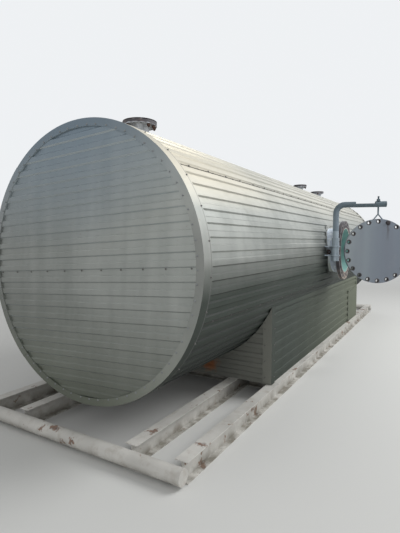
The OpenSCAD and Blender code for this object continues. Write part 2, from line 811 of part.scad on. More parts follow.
module davit_arm() {
    end = arm_len + arm_tail;
    bend_z = arm_z - davit_bend_r;
    mast_z0 = socket_z0 + socket_cap + seat_gap;
    color("slategray") on_davit() difference() {
        union() {
            translate([0, 0, mast_z0]) cylinder(h = bend_z - mast_z0, r = mast_r);
            translate([davit_bend_r, 0, bend_z]) rotate([90, 0, 0])
                rotate_extrude_bend();
            translate([davit_bend_r, 0, arm_z]) rotate([0, 90, 0])
                cylinder(h = end - davit_bend_r, r = mast_r);
        }
        translate([davit_bend_r + davit_wall, 0, arm_z]) rotate([0, 90, 0])
            cylinder(h = end - davit_bend_r - 2 * davit_wall, r = mast_r - davit_wall);
        translate([arm_len - mast_r - arm_cut_len, -mast_r - eps, arm_z + mast_r - arm_cut_depth])
            cube([arm_cut_len, davit_od + 2 * eps, davit_od]);
        translate([arm_len, 0, arm_z - davit_od])
            cylinder(h = 2 * davit_od, r = eyebolt_d / 2 + 1);
    }
}

// Quarter bend from the mast into the arm
module rotate_extrude_bend() {
    rotate([0, 0, 90]) rotate_extrude(angle = 90)
        translate([davit_bend_r, 0]) circle(r = mast_r);
}

// Eyebolt with its nut, and the two legs that spread to the cover's rim
module cover_yoke() {
    nut_z = arm_z + mast_r + seat_gap;
    apex = cover_top_z + yoke_rise;
    rim_z = man_z + sqrt(pow(man_flange_r, 2) - pow(yoke_half_w, 2));
    leg_len = sqrt(pow(apex - rim_z, 2) + pow(yoke_half_w, 2)) + eyebolt_d / 2;
    leg_angle = atan2(yoke_half_w, apex - rim_z);
    color("dimgray") on_cover() difference() {
        union() {
            translate([0, 0, apex - eyebolt_d / 2])
                cylinder(h = arm_z + eyebolt_rise - apex + eyebolt_d / 2, r = eyebolt_d / 2);
            translate([0, 0, nut_z]) cylinder(h = washer_h, r = washer_r);
            translate([0, 0, nut_z + washer_h]) cylinder(h = nut_h, r = nut_r, $fn = 6);
            for (s = [-1, 1]) translate([0, 0, apex]) rotate([0, 180 + s * leg_angle, 0])
                cylinder(h = leg_len, r = eyebolt_d / 2 - leg_thinner);
        }
        translate([0, 0, man_z]) rotate([90, 0, 0])
            cylinder(h = far_cut, r = man_flange_r + seat_gap, center = true);
    }
}

// Blind cover with its raised face towards the vessel
module manway_cover() {
    color("lightslategray") on_cover() translate([0, cover_t / 2, man_z])
        rotate([90, 0, 0]) difference() {
            union() {
                cylinder(h = cover_t, r = man_flange_r);
                translate([0, 0, -raised_h]) cylinder(h = raised_h + eps, r = man_face_d / 2);
            }
            bolt_holes(man_bolt_circle, man_bolts, man_hole_d, cover_t);
        }
}

module shell_course_front() { color("steelblue") shell_course(0); }
module shell_course_middle() { color("steelblue") shell_course(1); }
module shell_course_rear() { color("steelblue") shell_course(2); }
module head_front() { color("cadetblue") at_front() head(); }
module head_rear() { color("cadetblue") head(); }
module cladding_sheet_crown() { color("gainsboro") cladding_sheet(0, true, true); }
module cladding_sheet_left_upper() { color("silver") cladding_sheet(1, false, true); }
module cladding_sheet_left_lower() { color("gainsboro") cladding_sheet(2, false, true); }
module cladding_sheet_belly() { color("silver") cladding_sheet(3, false, false); }
module cladding_sheet_right_lower() { color("gainsboro") cladding_sheet(4, true, false); }
module cladding_sheet_right_upper() { color("silver") cladding_sheet(5, true, false); }
module end_sheet_front_upper() {
    color("darkgray") end_sheet(front_clad_r, true, end_tilt);
}
module end_sheet_front_lower() {
    color("darkgray") end_sheet(front_clad_r, false, end_tilt);
}
module end_sheet_rear_upper() {
    color("darkgray") at_front() end_sheet(rear_clad_r, true);
}
module end_sheet_rear_lower() {
    color("darkgray") at_front() end_sheet(rear_clad_r, false);
}
module rim_flashing_front() {
    color("lightgray") at_front() rim_flashing(front_clad_r + lap_step);
}
module rim_flashing_rear() { color("lightgray") rim_flashing(rear_clad_r + lap_step); }
module box_wall_right() { color("darkseagreen") box_side_wall(); }
module box_wall_left() { color("darkseagreen") mirror([1, 0, 0]) box_side_wall(); }
module box_wall_front() { color("darkseagreen") box_end_wall(); }
module box_wall_rear() {
    color("darkseagreen") translate([0, box_y0 + box_y1, 0]) mirror([0, 1, 0]) box_end_wall();
}
module saddle_front() { translate([0, -saddle_y, 0]) saddle(); }
module saddle_rear() { translate([0, saddle_y, 0]) saddle(); }
module skid_outer_runners() {
    color("whitesmoke") for (s = [-1, 1]) runner(s * runner_outer_x);
}
module skid_inner_runners() {
    color("whitesmoke") for (s = [-1, 1]) runner(s * runner_inner_x);
}
module nozzle_near() {
    nozzle(near_pos, big_neck_od, near_flange_od, near_bolt_circle, near_bolts);
}
module nozzle_middle() {
    nozzle(mid_pos, small_neck_od, mid_flange_od, mid_bolt_circle, small_bolts);
}
module nozzle_far() {
    nozzle(far_pos, big_neck_od, far_flange_od, far_bolt_circle, small_bolts);
}
module blind_flange_near() {
    nozzle_blind(near_pos, near_flange_od, near_bolt_circle, near_bolts);
}
module blind_flange_middle() {
    nozzle_blind(mid_pos, mid_flange_od, mid_bolt_circle, small_bolts);
}
module blind_flange_far() {
    nozzle_blind(far_pos, far_flange_od, far_bolt_circle, small_bolts);
}

shell_course_front();
shell_course_middle();
shell_course_rear();
head_front();
head_rear();
shell_insulation();
head_insulation();
cladding_sheet_crown();
cladding_sheet_left_upper();
cladding_sheet_left_lower();
cladding_sheet_belly();
cladding_sheet_right_lower();
cladding_sheet_right_upper();
end_sheet_front_upper();
end_sheet_front_lower();
end_sheet_rear_upper();
end_sheet_rear_lower();
rim_flashing_front();
rim_flashing_rear();
box_wall_right();
box_wall_left();
box_wall_front();
box_wall_rear();
box_corner_flashings();
access_panel();
saddle_front();
saddle_rear();
skid_outer_runners();
skid_inner_runners();
skid_cross_members();
skid_pull_pipes();
nozzle_near();
nozzle_middle();
nozzle_far();
blind_flange_near();
blind_flange_middle();
blind_flange_far();
nozzle_gaskets();
nozzle_collars();
manway_neck();
manway_flange();
manway_gasket();
manway_collar();
davit_socket();
davit_arm();
cover_yoke();
manway_cover();
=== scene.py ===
"""Looks for an insulated horizontal pressure vessel in box-rib sheet, on a skid.

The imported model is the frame. Every operator below adds one group of pieces or
finishes, in metres and in the vessel's own frame: +X is the manway side, +Y runs
from the photographed end to the far end, and +Z is up.
"""
import json
import math
import random

import bpy
from bpy.props import FloatProperty, FloatVectorProperty, IntProperty, PointerProperty
from mathutils import Matrix, Vector
from mathutils.bvhtree import BVHTree


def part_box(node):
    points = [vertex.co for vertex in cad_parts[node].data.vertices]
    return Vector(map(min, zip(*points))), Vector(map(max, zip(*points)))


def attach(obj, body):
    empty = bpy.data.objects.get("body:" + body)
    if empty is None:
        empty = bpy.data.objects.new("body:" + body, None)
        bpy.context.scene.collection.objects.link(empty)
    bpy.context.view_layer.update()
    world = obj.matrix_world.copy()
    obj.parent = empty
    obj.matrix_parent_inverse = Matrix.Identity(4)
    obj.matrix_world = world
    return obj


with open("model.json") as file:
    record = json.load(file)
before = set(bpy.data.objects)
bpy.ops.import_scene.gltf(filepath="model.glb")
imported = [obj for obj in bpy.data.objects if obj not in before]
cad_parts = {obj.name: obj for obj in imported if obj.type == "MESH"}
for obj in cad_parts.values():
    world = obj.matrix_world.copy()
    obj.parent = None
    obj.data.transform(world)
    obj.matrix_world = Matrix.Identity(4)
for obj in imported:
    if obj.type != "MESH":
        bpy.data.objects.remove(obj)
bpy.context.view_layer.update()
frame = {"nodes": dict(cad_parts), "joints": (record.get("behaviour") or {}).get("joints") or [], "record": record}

bl_info = {
    "name": "Insulated Pressure Vessel",
    "version": (1, 0, 0),
    "blender": (4, 5, 0),
    "location": "View3D > Sidebar > Vessel",
    "description": "Dresses a packed horizontal pressure vessel with fixings, welds and finishes",
    "category": "Object",
}

FIXED = "vessel"
SWINGS = "davit"
X, Y, Z = Vector((1, 0, 0)), Vector((0, 1, 0)), Vector((0, 0, 1))


# Places read from the frame

def middle(node):
    """Middle of a node's box."""
    low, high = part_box(node)
    return (low + high) / 2


def half_width(node):
    """Half of a node's width across the vessel."""
    low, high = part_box(node)
    return (high.x - low.x) / 2


AXIS_Z = middle("shell_course_middle").z
SHELL_R = half_width("shell_course_middle")
FRONT_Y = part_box("rim_flashing_front")[0].y
REAR_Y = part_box("rim_flashing_rear")[1].y
MANWAY = Vector((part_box("manway_flange")[1].x, *middle("manway_flange").yz))
FLANGE_R = (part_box("manway_flange")[1].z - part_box("manway_flange")[0].z) / 2
COVER = middle("manway_cover")
MAST = Vector(frame["joints"][0]["pos_m"])

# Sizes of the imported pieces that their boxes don't tell
SHELL_WALL = 0.0127
MANWAY_BORE_R = 0.2955
NECK_R = 0.3045
BOLT_CIRCLE_R = 0.37465
BOLT_STEP = math.radians(18)
COVER_T = 0.046
BEAM_W = 0.102
NOZZLE_FLANGE_T = 0.034
# Of each nozzle: bolt holes, those with a stud, their inset from the plate's edge, the neck's radius
NOZZLES = {"near": (12, (0, 1, 5, 8, 11), 0.02405, 0.084),
           "middle": (8, (0, 4), 0.025, 0.057),
           "far": (8, (2, 6), 0.01885, 0.084)}
# Of each end: its place, and the sign of the way out of it
ENDS = {"front": (FRONT_Y, -1), "rear": (REAR_Y, 1)}
CLADDING = ["cladding_sheet_" + name for name in
            ("crown", "left_upper", "left_lower", "belly", "right_lower", "right_upper")]

# Where the coupling stands on the side of the manway's neck
COUPLING = MANWAY - Vector((0.154, 0.305, 0.017))

# Where a line that looks for a surface starts: outside an end, and from the vessel's axis
OUTSIDE, FROM_AXIS = 0.1, 2.0


# What a user may change

def length(name, description, default):
    """A length."""
    return FloatProperty(name=name, description=description, default=default, unit="LENGTH")


def angle(name, description, degrees):
    """An angle, given in degrees."""
    return FloatProperty(name=name, description=description, default=math.radians(degrees), unit="ROTATION")


def count(name, description, default):
    """A whole number."""
    return IntProperty(name=name, description=description, default=default, min=1)


def power(name, description, default):
    """Power of a lamp, in watts."""
    return FloatProperty(name=name, description=description, default=default, min=0.0, unit="POWER")


def colour(name, description, *shade):
    """A colour."""
    return FloatVectorProperty(name=name, description=description, default=shade, subtype="COLOR")


class VesselSizes(bpy.types.PropertyGroup):
    """Sizes that the fixings and welds are set out with."""

    ribs_round: count("Ribs round", "Ribs round the whole shell", 70)
    sheet_ribs: count("Ribs a sheet", "Ribs of each shell sheet but the belly one", 12)
    rib_valley: angle("Rib valley", "Angle of the flat between two ribs", 2.168)
    hem: angle("Hem", "Half the angle of the flat hem at a lapping edge", 0.257)
    seam: angle("Seam", "Angle over the horizontal at which the crown sheet starts", 44.3)
    rear_length: length("Rear length", "Length of the rear lengths of cladding", 2.424)
    end_tilt: angle("End tilt", "Turn of the near end's ribs from level", 2.9)
    end_hem: length("End hem", "Height over the axis of the lap of the end sheets", -0.052)
    end_screw_first: length("First lap screw", "Place of the first lap screw of an end", 1.027)
    end_screw_pitch: length("Lap screw pitch", "Distance between the lap screws", 0.207)
    ring_screws: count("Ring screws", "Screws round the face of each rim flashing", 67)
    ring_r: length("Ring radius", "Radius of the ring of screws on the rim face", 1.087)
    band_screws: count("Band screws", "Screws round each rim flashing's band", 29)
    band_in: length("Band screw inset", "Distance of those screws from the end", 0.094)
    seam_screw_pitch: length("Seam screw pitch", "Distance between seam screws", 0.295)
    washer_r: length("Screw washer", "Radius of a sheet screw's washer", 0.0075)
    stud_r: length("Stud", "Radius of a nozzle stud", 0.0095)
    bead_r: length("Weld bead", "Radius of a weld bead", 0.006)


class VesselColours(bpy.types.PropertyGroup):
    """Colours of the finishes, some of which paint light and shade."""

    mill: colour("Mill finish", "Weathered ribbed aluminium sheet", 0.36, 0.372, 0.352)
    mill_dull: colour("Dull mill finish", "Oxidized patches of the sheet", 0.265, 0.28, 0.262)
    # Painted highlight: the pale cream over the crown stands in for light glancing off the sheet.
    bleached: colour("Bleached sheet", "Sun-bleached sheet over the crown", 0.60, 0.565, 0.47)
    # Painted shade: the dark lower half of the shell stands in for shadow and the dark ground that it reflects.
    grime: colour("Grime", "Dirt on the lower half of the shell", 0.027, 0.037, 0.029)
    # Painted reflection of the sky at the top of the ends.
    end_cool: colour("End, top", "Cool sheet at the top of the ends", 0.175, 0.232, 0.285)
    # Painted reflection of the ground at the foot of the ends.
    end_warm: colour("End, foot", "Dull sheet at the foot of the ends", 0.120, 0.132, 0.104)
    # Painted light: the pale undersides of the end ribs stand in for light where they would be in shade.
    rib_under: colour("Rib undersides", "Cleaner sheet under the ribs of the ends", 0.55, 0.60, 0.61)
    trim: colour("Trim", "Smooth flashings and collars", 0.34, 0.345, 0.325)
    # Painted shade: the belly box's very dark sheet stands in for the shade under the shell.
    box: colour("Belly box", "Dull ribbed sheet of the belly box", 0.030, 0.040, 0.031)
    # Painted light: paler towards the far end of the box.
    box_far: colour("Belly box, far part", "Paler sheet at the far end of the box", 0.110, 0.124, 0.086)
    # Paler end walls and corner faces: the less shaded copy of the box's sheet.
    box_end: colour("Belly box, ends", "End walls of the belly box", 0.175, 0.18, 0.16)
    box_corner: colour("Belly box, corners", "Corner flashings seen from the end", 0.20, 0.205, 0.18)
    stain: colour("Stain", "Brown water marks on the sheet", 0.20, 0.15, 0.09)
    screw: colour("Screw", "Weathered screw heads", 0.135, 0.135, 0.132)
    rust: colour("Rust", "Dark old rust", 0.085, 0.045, 0.034)
    rust_dark: colour("Purple rust", "Purple-brown rust of bare machined faces", 0.052, 0.047, 0.053)
    rust_bright: colour("Bright rust", "Fresh orange rust", 0.34, 0.115, 0.028)
    primer: colour("Primer", "Grey-blue paint of the cover", 0.198, 0.235, 0.282)
    neck: colour("Neck paint", "Paler paint of the manway neck", 0.60, 0.68, 0.79)
    # Painted shade on the lower side of the manway neck.
    neck_low: colour("Neck paint, foot", "Dirty paint low on the manway neck", 0.36, 0.40, 0.37)
    socket: colour("Socket paint", "Paint of the davit's socket", 0.30, 0.36, 0.41)
    davit: colour("Mast paint", "Paint of the davit's mast", 0.205, 0.260, 0.305)
    # Painted shade: the arm is darker than the mast for the shade under it.
    arm: colour("Arm paint", "Darker paint of the davit's arm", 0.105, 0.145, 0.172)
    nozzle: colour("Nozzle paint", "Pale paint of the top nozzles' necks", 0.37, 0.395, 0.44)
    lining: colour("Lining", "Teal lining inside the shell and the manway", 0.28, 0.50, 0.47)
    gasket: colour("Gasket", "Pale residue on the joint face", 0.46, 0.45, 0.40)
    skid: colour("Skid paint", "Chalky white paint of the skid", 0.60, 0.59, 0.555)
    wool: colour("Mineral wool", "Insulation behind the cladding", 0.38, 0.30, 0.12)


class VesselStage(bpy.types.PropertyGroup):
    """The camera, the lamps and the floor."""

    camera_at: FloatVectorProperty(name="Camera", description="Place of the camera",
                                   subtype="TRANSLATION", unit="LENGTH",
                                   default=(2.4763, -6.1006, 1.6001))
    camera_turn: FloatVectorProperty(name="Camera turn", description="Rotation of the camera",
                                     subtype="EULER", unit="ROTATION",
                                     default=(math.radians(86.51), 0.0, math.radians(30.80)))
    focal_length: FloatProperty(name="Focal length", description="For a long side of 36 mm",
                                default=27.514, min=10.0, max=200.0, unit="CAMERA")
    backdrop: colour("Backdrop", "Pale colour round the vessel", 0.86, 0.88, 0.90)
    floor: colour("Floor", "Colour of the floor", 0.62, 0.625, 0.61)
    floor_r: length("Floor radius", "Radius of the floor", 60.0)
    ambient: FloatProperty(name="Ambient", description="Strength of the even light from all round",
                           default=0.50, min=0.0, max=2.0)
    key: power("Key lamp", "Power of the large lamp over the manway side", 620.0)
    fill: power("Fill lamp", "Power of the lamp in front of the near end", 125.0)
    back: power("Back lamp", "Power of the lamp behind the far end", 85.0)


# Mesh helpers: a shape is a list of points and a list of faces

def turned(profile, sides):
    """An outline of (radius, height) pairs turned about Z, closed where the radius is 0."""
    points, faces, rings = [], [], []
    for radius, height in profile:
        if radius == 0:
            rings.append([len(points)])
            points.append((0.0, 0.0, height))
            continue
        rings.append(range(len(points), len(points) + sides))
        for i in range(sides):
            a = math.tau * i / sides
            points.append((radius * math.cos(a), radius * math.sin(a), height))
    for low, high in zip(rings, rings[1:]):
        for i in range(sides):
            j = (i + 1) % sides
            if len(low) == 1 and len(high) > 1:
                faces.append((low[0], high[j], high[i]))
            elif len(high) == 1 and len(low) > 1:
                faces.append((low[i], low[j], high[0]))
            elif len(low) > 1:
                faces.append((low[i], low[j], high[j], high[i]))
    return points, faces


def joined(*shapes):
    """Several shapes as one."""
    points, faces = [], []
    for shape_points, shape_faces in shapes:
        start = len(points)
        points += shape_points
        faces += [tuple(start + i for i in face) for face in shape_faces]
    return points, faces


def moved(shape, matrix):
    """A shape with its points moved by a matrix."""
    points, faces = shape
    return [tuple(matrix @ Vector(p)) for p in points], faces


def placed(point, normal, spin=0.0):
    """Matrix that takes +Z to a normal and the origin to a point."""
    turn = Vector(normal).to_track_quat("Z", "Y").to_matrix().to_4x4()
    return Matrix.Translation(point) @ turn @ Matrix.Rotation(spin, 4, "Z")


def spun(point, normal):
    """As placed, with a random spin."""
    return placed(point, normal, random.uniform(0, math.tau))


def missed(reach):
    """A small random miss, as of something set by hand."""
    return random.uniform(-reach, reach)


def stamped(shape, places):
    """One shape repeated at each place that was found."""
    return joined(*[moved(shape, place) for place in places if place])


def skin(*nodes):
    """Search tree over the surfaces of some nodes."""
    shapes = []
    for name in nodes:
        mesh = frame["nodes"][name].data
        shapes.append(([tuple(v.co) for v in mesh.vertices], [tuple(p.vertices) for p in mesh.polygons]))
    return BVHTree.FromPolygons(*joined(*shapes))


def landed(surface, start, direction):
    """Where a line from a start first meets a surface: a place that faces back out, or None."""
    point, normal, _, _ = surface.ray_cast(start, direction)
    if point is None:
        return None
    return spun(point, -normal if normal.dot(direction) > 0 else normal)


def round_place(surface, turn, y):
    """Where a line from outside, at an angle round the shell, meets a surface."""
    out = Vector((math.cos(turn), 0, math.sin(turn)))
    return landed(surface, Vector((0, y, AXIS_Z)) + FROM_AXIS * out, -out)


def swept(path, radius, sides=8, closed=False, ripple=0.0):
    """A round bead along a path, swelling a little every few points as a weld does."""
    points, faces = [], []
    steps, ripple_step = len(path), 3
    for i, at in enumerate(path):
        ahead = path[(i + 1) % steps] if closed or i < steps - 1 else at
        behind = path[i - 1] if closed or i > 0 else at
        turn = (Vector(ahead) - Vector(behind)).to_track_quat("Z", "Y").to_matrix()
        r = radius * (1 + ripple * math.sin(math.tau * i / ripple_step))
        for k in range(sides):
            a = math.tau * k / sides
            points.append(tuple(Vector(at) + turn @ Vector((r * math.cos(a), r * math.sin(a), 0))))
    for i in range(steps if closed else steps - 1):
        low, high = i * sides, (i + 1) % steps * sides
        for k in range(sides):
            n = (k + 1) % sides
            faces.append((low + k, low + n, high + n, high + k))
    return points, faces


def ring_bead(centre, across, up, ring_r, steps, radius, ripple, sides=8):
    """A closed bead round a circle in the plane of two directions."""
    path = [centre + ring_r * (math.cos(math.tau * i / steps) * across
                               + math.sin(math.tau * i / steps) * up) for i in range(steps)]
    return swept(path, radius, sides, True, ripple)


def piece(name, shape, body, build):
    """Adds a smooth-shaded object that rides on a body and takes a material."""
    points, faces = shape
    mesh = bpy.data.meshes.new(name)
    mesh.from_pydata(points, [], faces)
    mesh.validate()
    mesh.shade_smooth()
    mesh.set_sharp_from_angle(angle=math.radians(40.0))
    mesh.materials.append(material(build))
    obj = bpy.data.objects.new(name, mesh)
    bpy.context.scene.collection.objects.link(obj)
    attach(obj, body)


# Material helpers

def chosen_colours():
    """The colours as the user has set them."""
    return bpy.context.scene.vessel_colours


def material(build):
    """The material that a function builds, built the first time that it is asked for."""
    return bpy.data.materials.get(build.__name__) or build()


class Value:
    """A node's output, which can be added, taken away, multiplied and divided."""

    def __init__(self, made, socket):
        self.made, self.socket = made, socket

    def __add__(self, other):
        return self.made.calc("ADD", self, other)

    def __sub__(self, other):
        return self.made.calc("SUBTRACT", self, other)

    def __rsub__(self, other):
        return self.made.calc("SUBTRACT", other, self)

    def __mul__(self, other):
        return self.made.calc("MULTIPLY", self, other)

    def __truediv__(self, other):
        return self.made.calc("DIVIDE", self, other)

    def __abs__(self):
        return self.made.calc("ABSOLUTE", self)


class Finish:
    """A material under construction, with short calls for its nodes."""

    def __init__(self, name, metallic=0.0, roughness=0.5):
        self.material = bpy.data.materials.new(name)
        self.material.use_nodes = True
        self.tree = self.material.node_tree
        self.shader = self.tree.nodes["Principled BSDF"]
        self.wire("Roughness", roughness)
        self.wire("Metallic", metallic)
        self.colours = chosen_colours()
        self.where = Value(self, self.tree.nodes.new("ShaderNodeTexCoord").outputs["Object"])
        self.facing = Value(self, self.tree.nodes.new("ShaderNodeNewGeometry").outputs["Normal"])

    def give(self, socket, value):
        """Links a value to a socket, or sets a constant on it. None leaves it as it is."""
        if isinstance(value, Value):
            self.tree.links.new(value.socket, socket)
        elif value is not None:
            socket.default_value = (*value, 1.0) if socket.type == "RGBA" else value

    def wire(self, name, value):
        """Gives a value to one of the shader's sockets."""
        self.give(self.shader.inputs[name], value)

    def node(self, kind, *values, output=0, **settings):
        """Output of a new node with its settings, and with its inputs given in order."""
        new = self.tree.nodes.new(kind)
        for key, value in settings.items():
            setattr(new, key, value)
        for socket, value in zip(new.inputs, values):
            self.give(socket, value)
        return Value(self, new.outputs[output])

    def calc(self, operation, a, b=None, clamp=False):
        """One of the Math node's operations."""
        return self.node("ShaderNodeMath", a, b, operation=operation, use_clamp=clamp)

    def vector(self, operation, *values, output=0):
        """One of the Vector Math node's operations."""
        return self.node("ShaderNodeVectorMath", *values, operation=operation, output=output)

    def part(self, vector, axis):
        """One part of a vector."""
        return self.node("ShaderNodeSeparateXYZ", vector, output=axis)

    @property
    def x(self):
        """Place across the vessel."""
        return self.part(self.where, 0)

    @property
    def y(self):
        """Place along the vessel."""
        return self.part(self.where, 1)

    @property
    def z(self):
        """Height over the ground."""
        return self.part(self.where, 2)

    @property
    def height(self):
        """Height over the vessel's axis."""
        return self.z - AXIS_Z

    @property
    def endways(self):
        """How far the surface faces along the vessel."""
        return abs(self.part(self.facing, 1))

    def noise(self, scale, detail=3.0, stretch=None, roughness=0.55):
        """Smooth noise from about 0.3 to 0.7."""
        at = self.vector("MULTIPLY", self.where, stretch) if stretch else self.where
        return self.node("ShaderNodeTexNoise", at, None, scale, detail, roughness)

    def ragged(self, reach, *noise):
        """Noise about 0, for uneven edges."""
        return (self.noise(*noise) - 0.5) * reach

    def band(self, value, low, high, out_low=0.0, out_high=1.0):
        """A value taken from low..high to out_low..out_high and held there."""
        return self.node("ShaderNodeMapRange", value, low, high, out_low, out_high)

    def mix(self, share, a, b):
        """Colour a turning into colour b."""
        return self.node("ShaderNodeMix", share, *[None] * 5, a, b, data_type="RGBA", output=2)

    def scaled(self, shade, factor):
        """A colour made darker or lighter by a factor."""
        return self.vector("SCALE", shade, None, None, factor)

    def mottled(self, noise, shade, share, low=0.35):
        """A constant colour, made darker by a share where a noise is low."""
        return self.mix(self.band(noise, low, 1 - low), darker(shade, share), shade)

    def rough(self, noise, low, high):
        """Roughness that follows a noise from low to high."""
        return self.band(noise, 0.3, 0.7, low, high)

    def rib_side(self):
        """How far the surface faces away from straight out of the shell: 0 on flats."""
        away = self.vector("SUBTRACT", self.where, (0, 0, AXIS_Z))
        out = self.vector("NORMALIZE", self.vector("MULTIPLY", away, (1, 0, 1)))
        return abs(self.part(self.vector("CROSS_PRODUCT", out, self.facing), 1))

    def distance_to(self, point):
        """Distance from a point."""
        return self.vector("DISTANCE", self.where, point, output=1)

    def round_manway(self):
        """Distance from the manway's axis."""
        away = self.vector("SUBTRACT", self.where, MANWAY)
        return self.vector("LENGTH", self.vector("MULTIPLY", away, (0, 1, 1)), output=1)

    def in_bore(self):
        """1 inside the manway's bore."""
        return self.band(self.round_manway(), MANWAY_BORE_R + 0.004, MANWAY_BORE_R + 0.001)

    def from_nearest_hole(self, across, up, radius, step):
        """Distance from the nearest of the holes a step apart round a circle, one of them at its top."""
        turn = self.calc("ROUND", self.calc("ARCTAN2", across, up) / step) * step
        side = across - self.calc("SINE", turn) * radius
        rise = up - self.calc("COSINE", turn) * radius
        return self.calc("SQRT", side * side + rise * rise)

    def along(self, direction, origin):
        """Distance along a direction from an origin."""
        return self.vector("DOT_PRODUCT", self.vector("SUBTRACT", self.where, origin), direction, output=1)

    def done(self, shade, rough=None, relief=None, depth=0.0):
        """The material with its colour, its roughness and its relief, which may be left out."""
        self.wire("Base Color", shade)
        self.wire("Roughness", rough)
        if relief:
            bump = self.tree.nodes.new("ShaderNodeBump")
            bump.inputs["Distance"].default_value = depth
            self.give(bump.inputs["Height"], relief)
            self.wire("Normal", Value(self, bump.outputs[0]))
        return self.material


def darker(shade, share):
    """A constant colour made darker."""
    return [part * share for part in shade]


# Sheet: each tone takes the sheet's colour and gives it painted light and shade by place, with how much painted
# shade the sheet has there

def shell_tone(made, shade):
    """Painted highlight over the crown, and painted shade below mid height, deeper on the ribs' sides and under
    the belly.
    """
    level = made.height + made.ragged(0.16, 1.5, 3.0, (1.0, 0.3, 1.0))
    # Painted shadow of the manway: from there on along the vessel, the painted shade starts a little higher.
    level = level + made.band(made.y, -2.4, -1.6, 0.0, -0.055)
    # Painted highlight over the crown, strongest towards the near end.
    farther = made.band(made.y, -3.3, -2.0, 1.0, 0.42)
    shade = made.mix(made.band(level, 0.40, 0.70) * farther, shade, made.colours.bleached)
    # Painted shade below mid height.
    shaded_share = made.band(level, 0.09, 0.01, 0.0, 0.5) + made.band(level, 0.01, -0.21, 0.0, 0.5)
    shade = made.mix(shaded_share, shade, made.colours.grime)
    # Deeper painted shade on the ribs' sides, and under the belly.
    rib_shade = made.band(made.rib_side(), 0.15, 0.5, 0.0, 0.5) * shaded_share
    belly = made.band(level, -0.35, -0.55, 0.0, 0.18)
    return made.scaled(shade, 1.0 - (rib_shade + belly)), shaded_share


def end_tone(made, shade):
    """Painted reflection of the sky towards the top of an end and of the ground towards its foot, with painted
    light and shade by side and height, and painted light under its ribs.
    """
    height, across, up = made.height, made.x, made.part(made.facing, 2)
    # Painted reflection of the sky towards the top, and of the ground towards the foot.
    side = made.band(across, 0.1, 1.0, 0.0, 0.35)
    sky_share = made.calc("SUBTRACT", made.band(height, 0.1, 1.1, 0.0, 0.9), side, True)
    shade = made.mix(sky_share, shade, made.colours.end_cool)
    low = height + across * 0.12
    shade = made.mix(made.band(low, -0.22, -1.05, 0.0, 0.9), shade, made.colours.end_warm)
    # Painted light on the ribs' upward sides, on the right side and at the left foot; painted shade on the left
    # side at mid height.
    up_web_light = made.band(up, 0.25, 0.6) * made.band(height, -1.0, 0.1, -0.12, 0.34)
    lit = made.band(across, 0.2, 0.9, 0.0, 0.15) * made.band(height, -0.5, 0.1)
    foot = made.band(across, 0.2, -0.4, 0.0, 0.18) * made.band(height, -0.55, -0.85)
    side_shade = made.band(across, 0.2, -0.95, 0.0, 0.17) * made.band(height, 0.75, 0.2)
    side_shade = side_shade * made.band(height, -0.75, -0.35)
    shade = made.scaled(shade, up_web_light + lit + foot - side_shade + 0.97)
    # Painted light on the ribs' downward sides, more to the left and low down.
    left_under_light = made.band(across, 0.2, -0.8, 0.0, 0.40) * made.band(height, -0.05, -0.5)
    under_rib_light = made.band(height, -0.2, 0.8, 0.22, 0.92) + left_under_light
    return made.mix(made.band(up, -0.25, -0.6) * under_rib_light, shade, made.colours.rib_under), None


def trim_tone(made, shade):
    """As the end on faces that look along the vessel, as the shell on the rest, with a dark line round its band,
    and with painted light and shade on its faces.
    """
    endways = made.band(made.endways, 0.6, 0.8)
    round_band, painted_shade_share = shell_tone(made, shade)
    # A dark line round the band.
    from_end = REAR_Y - abs(made.y)
    line = made.band(from_end, 0.094, 0.099) * made.band(from_end, 0.106, 0.102)
    round_band = made.mix(line * 0.7, round_band, made.colours.screw)
    height = made.height
    # Painted light at the foot and painted shade on the side of the faces' right half; painted shade at their top.
    foot = made.band(height, -0.40, -0.78, 0.0, 0.36)
    side = made.band(height, -0.5, -0.1, 0.0, 0.24) * made.band(height, 0.42, 0.2)
    top = made.band(height, 0.75, 1.0, 0.0, 0.14)
    light_and_shade = (foot - side) * made.band(made.x, -0.3, 0.3)
    face = made.scaled(end_tone(made, shade)[0], light_and_shade + 1.0 - top)
    return made.mix(endways, round_band, face), painted_shade_share * (1.0 - endways)


def box_tone(made, shade):
    """Painted light: paler towards the far end and on the end walls. A rusty patch low on the near one."""
    shade = made.mix(made.band(made.y, -1.6, 2.2), shade, made.colours.box_far)
    shade = made.mix(made.band(made.endways, 0.3, 0.6), shade, made.colours.box_end)
    patch_x, patch_z = 0.31, 0.29
    patch = Vector((patch_x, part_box("box_wall_front")[0].y, patch_z))
    away = made.distance_to(patch) + made.ragged(0.16, 16.0, 4.0)
    return made.mix(made.band(away, 0.13, 0.05, 0.0, 0.8), shade, made.colours.rust_bright), None


def corner_tone(made, shade):
    """As the box on the sides, with their painted shade, and pale on the faces that look along the vessel."""
    side = made.mix(made.band(made.y, -1.6, 2.2), shade, made.colours.box_far)
    return made.mix(made.band(made.endways, 0.3, 0.6), side, made.colours.box_corner), None


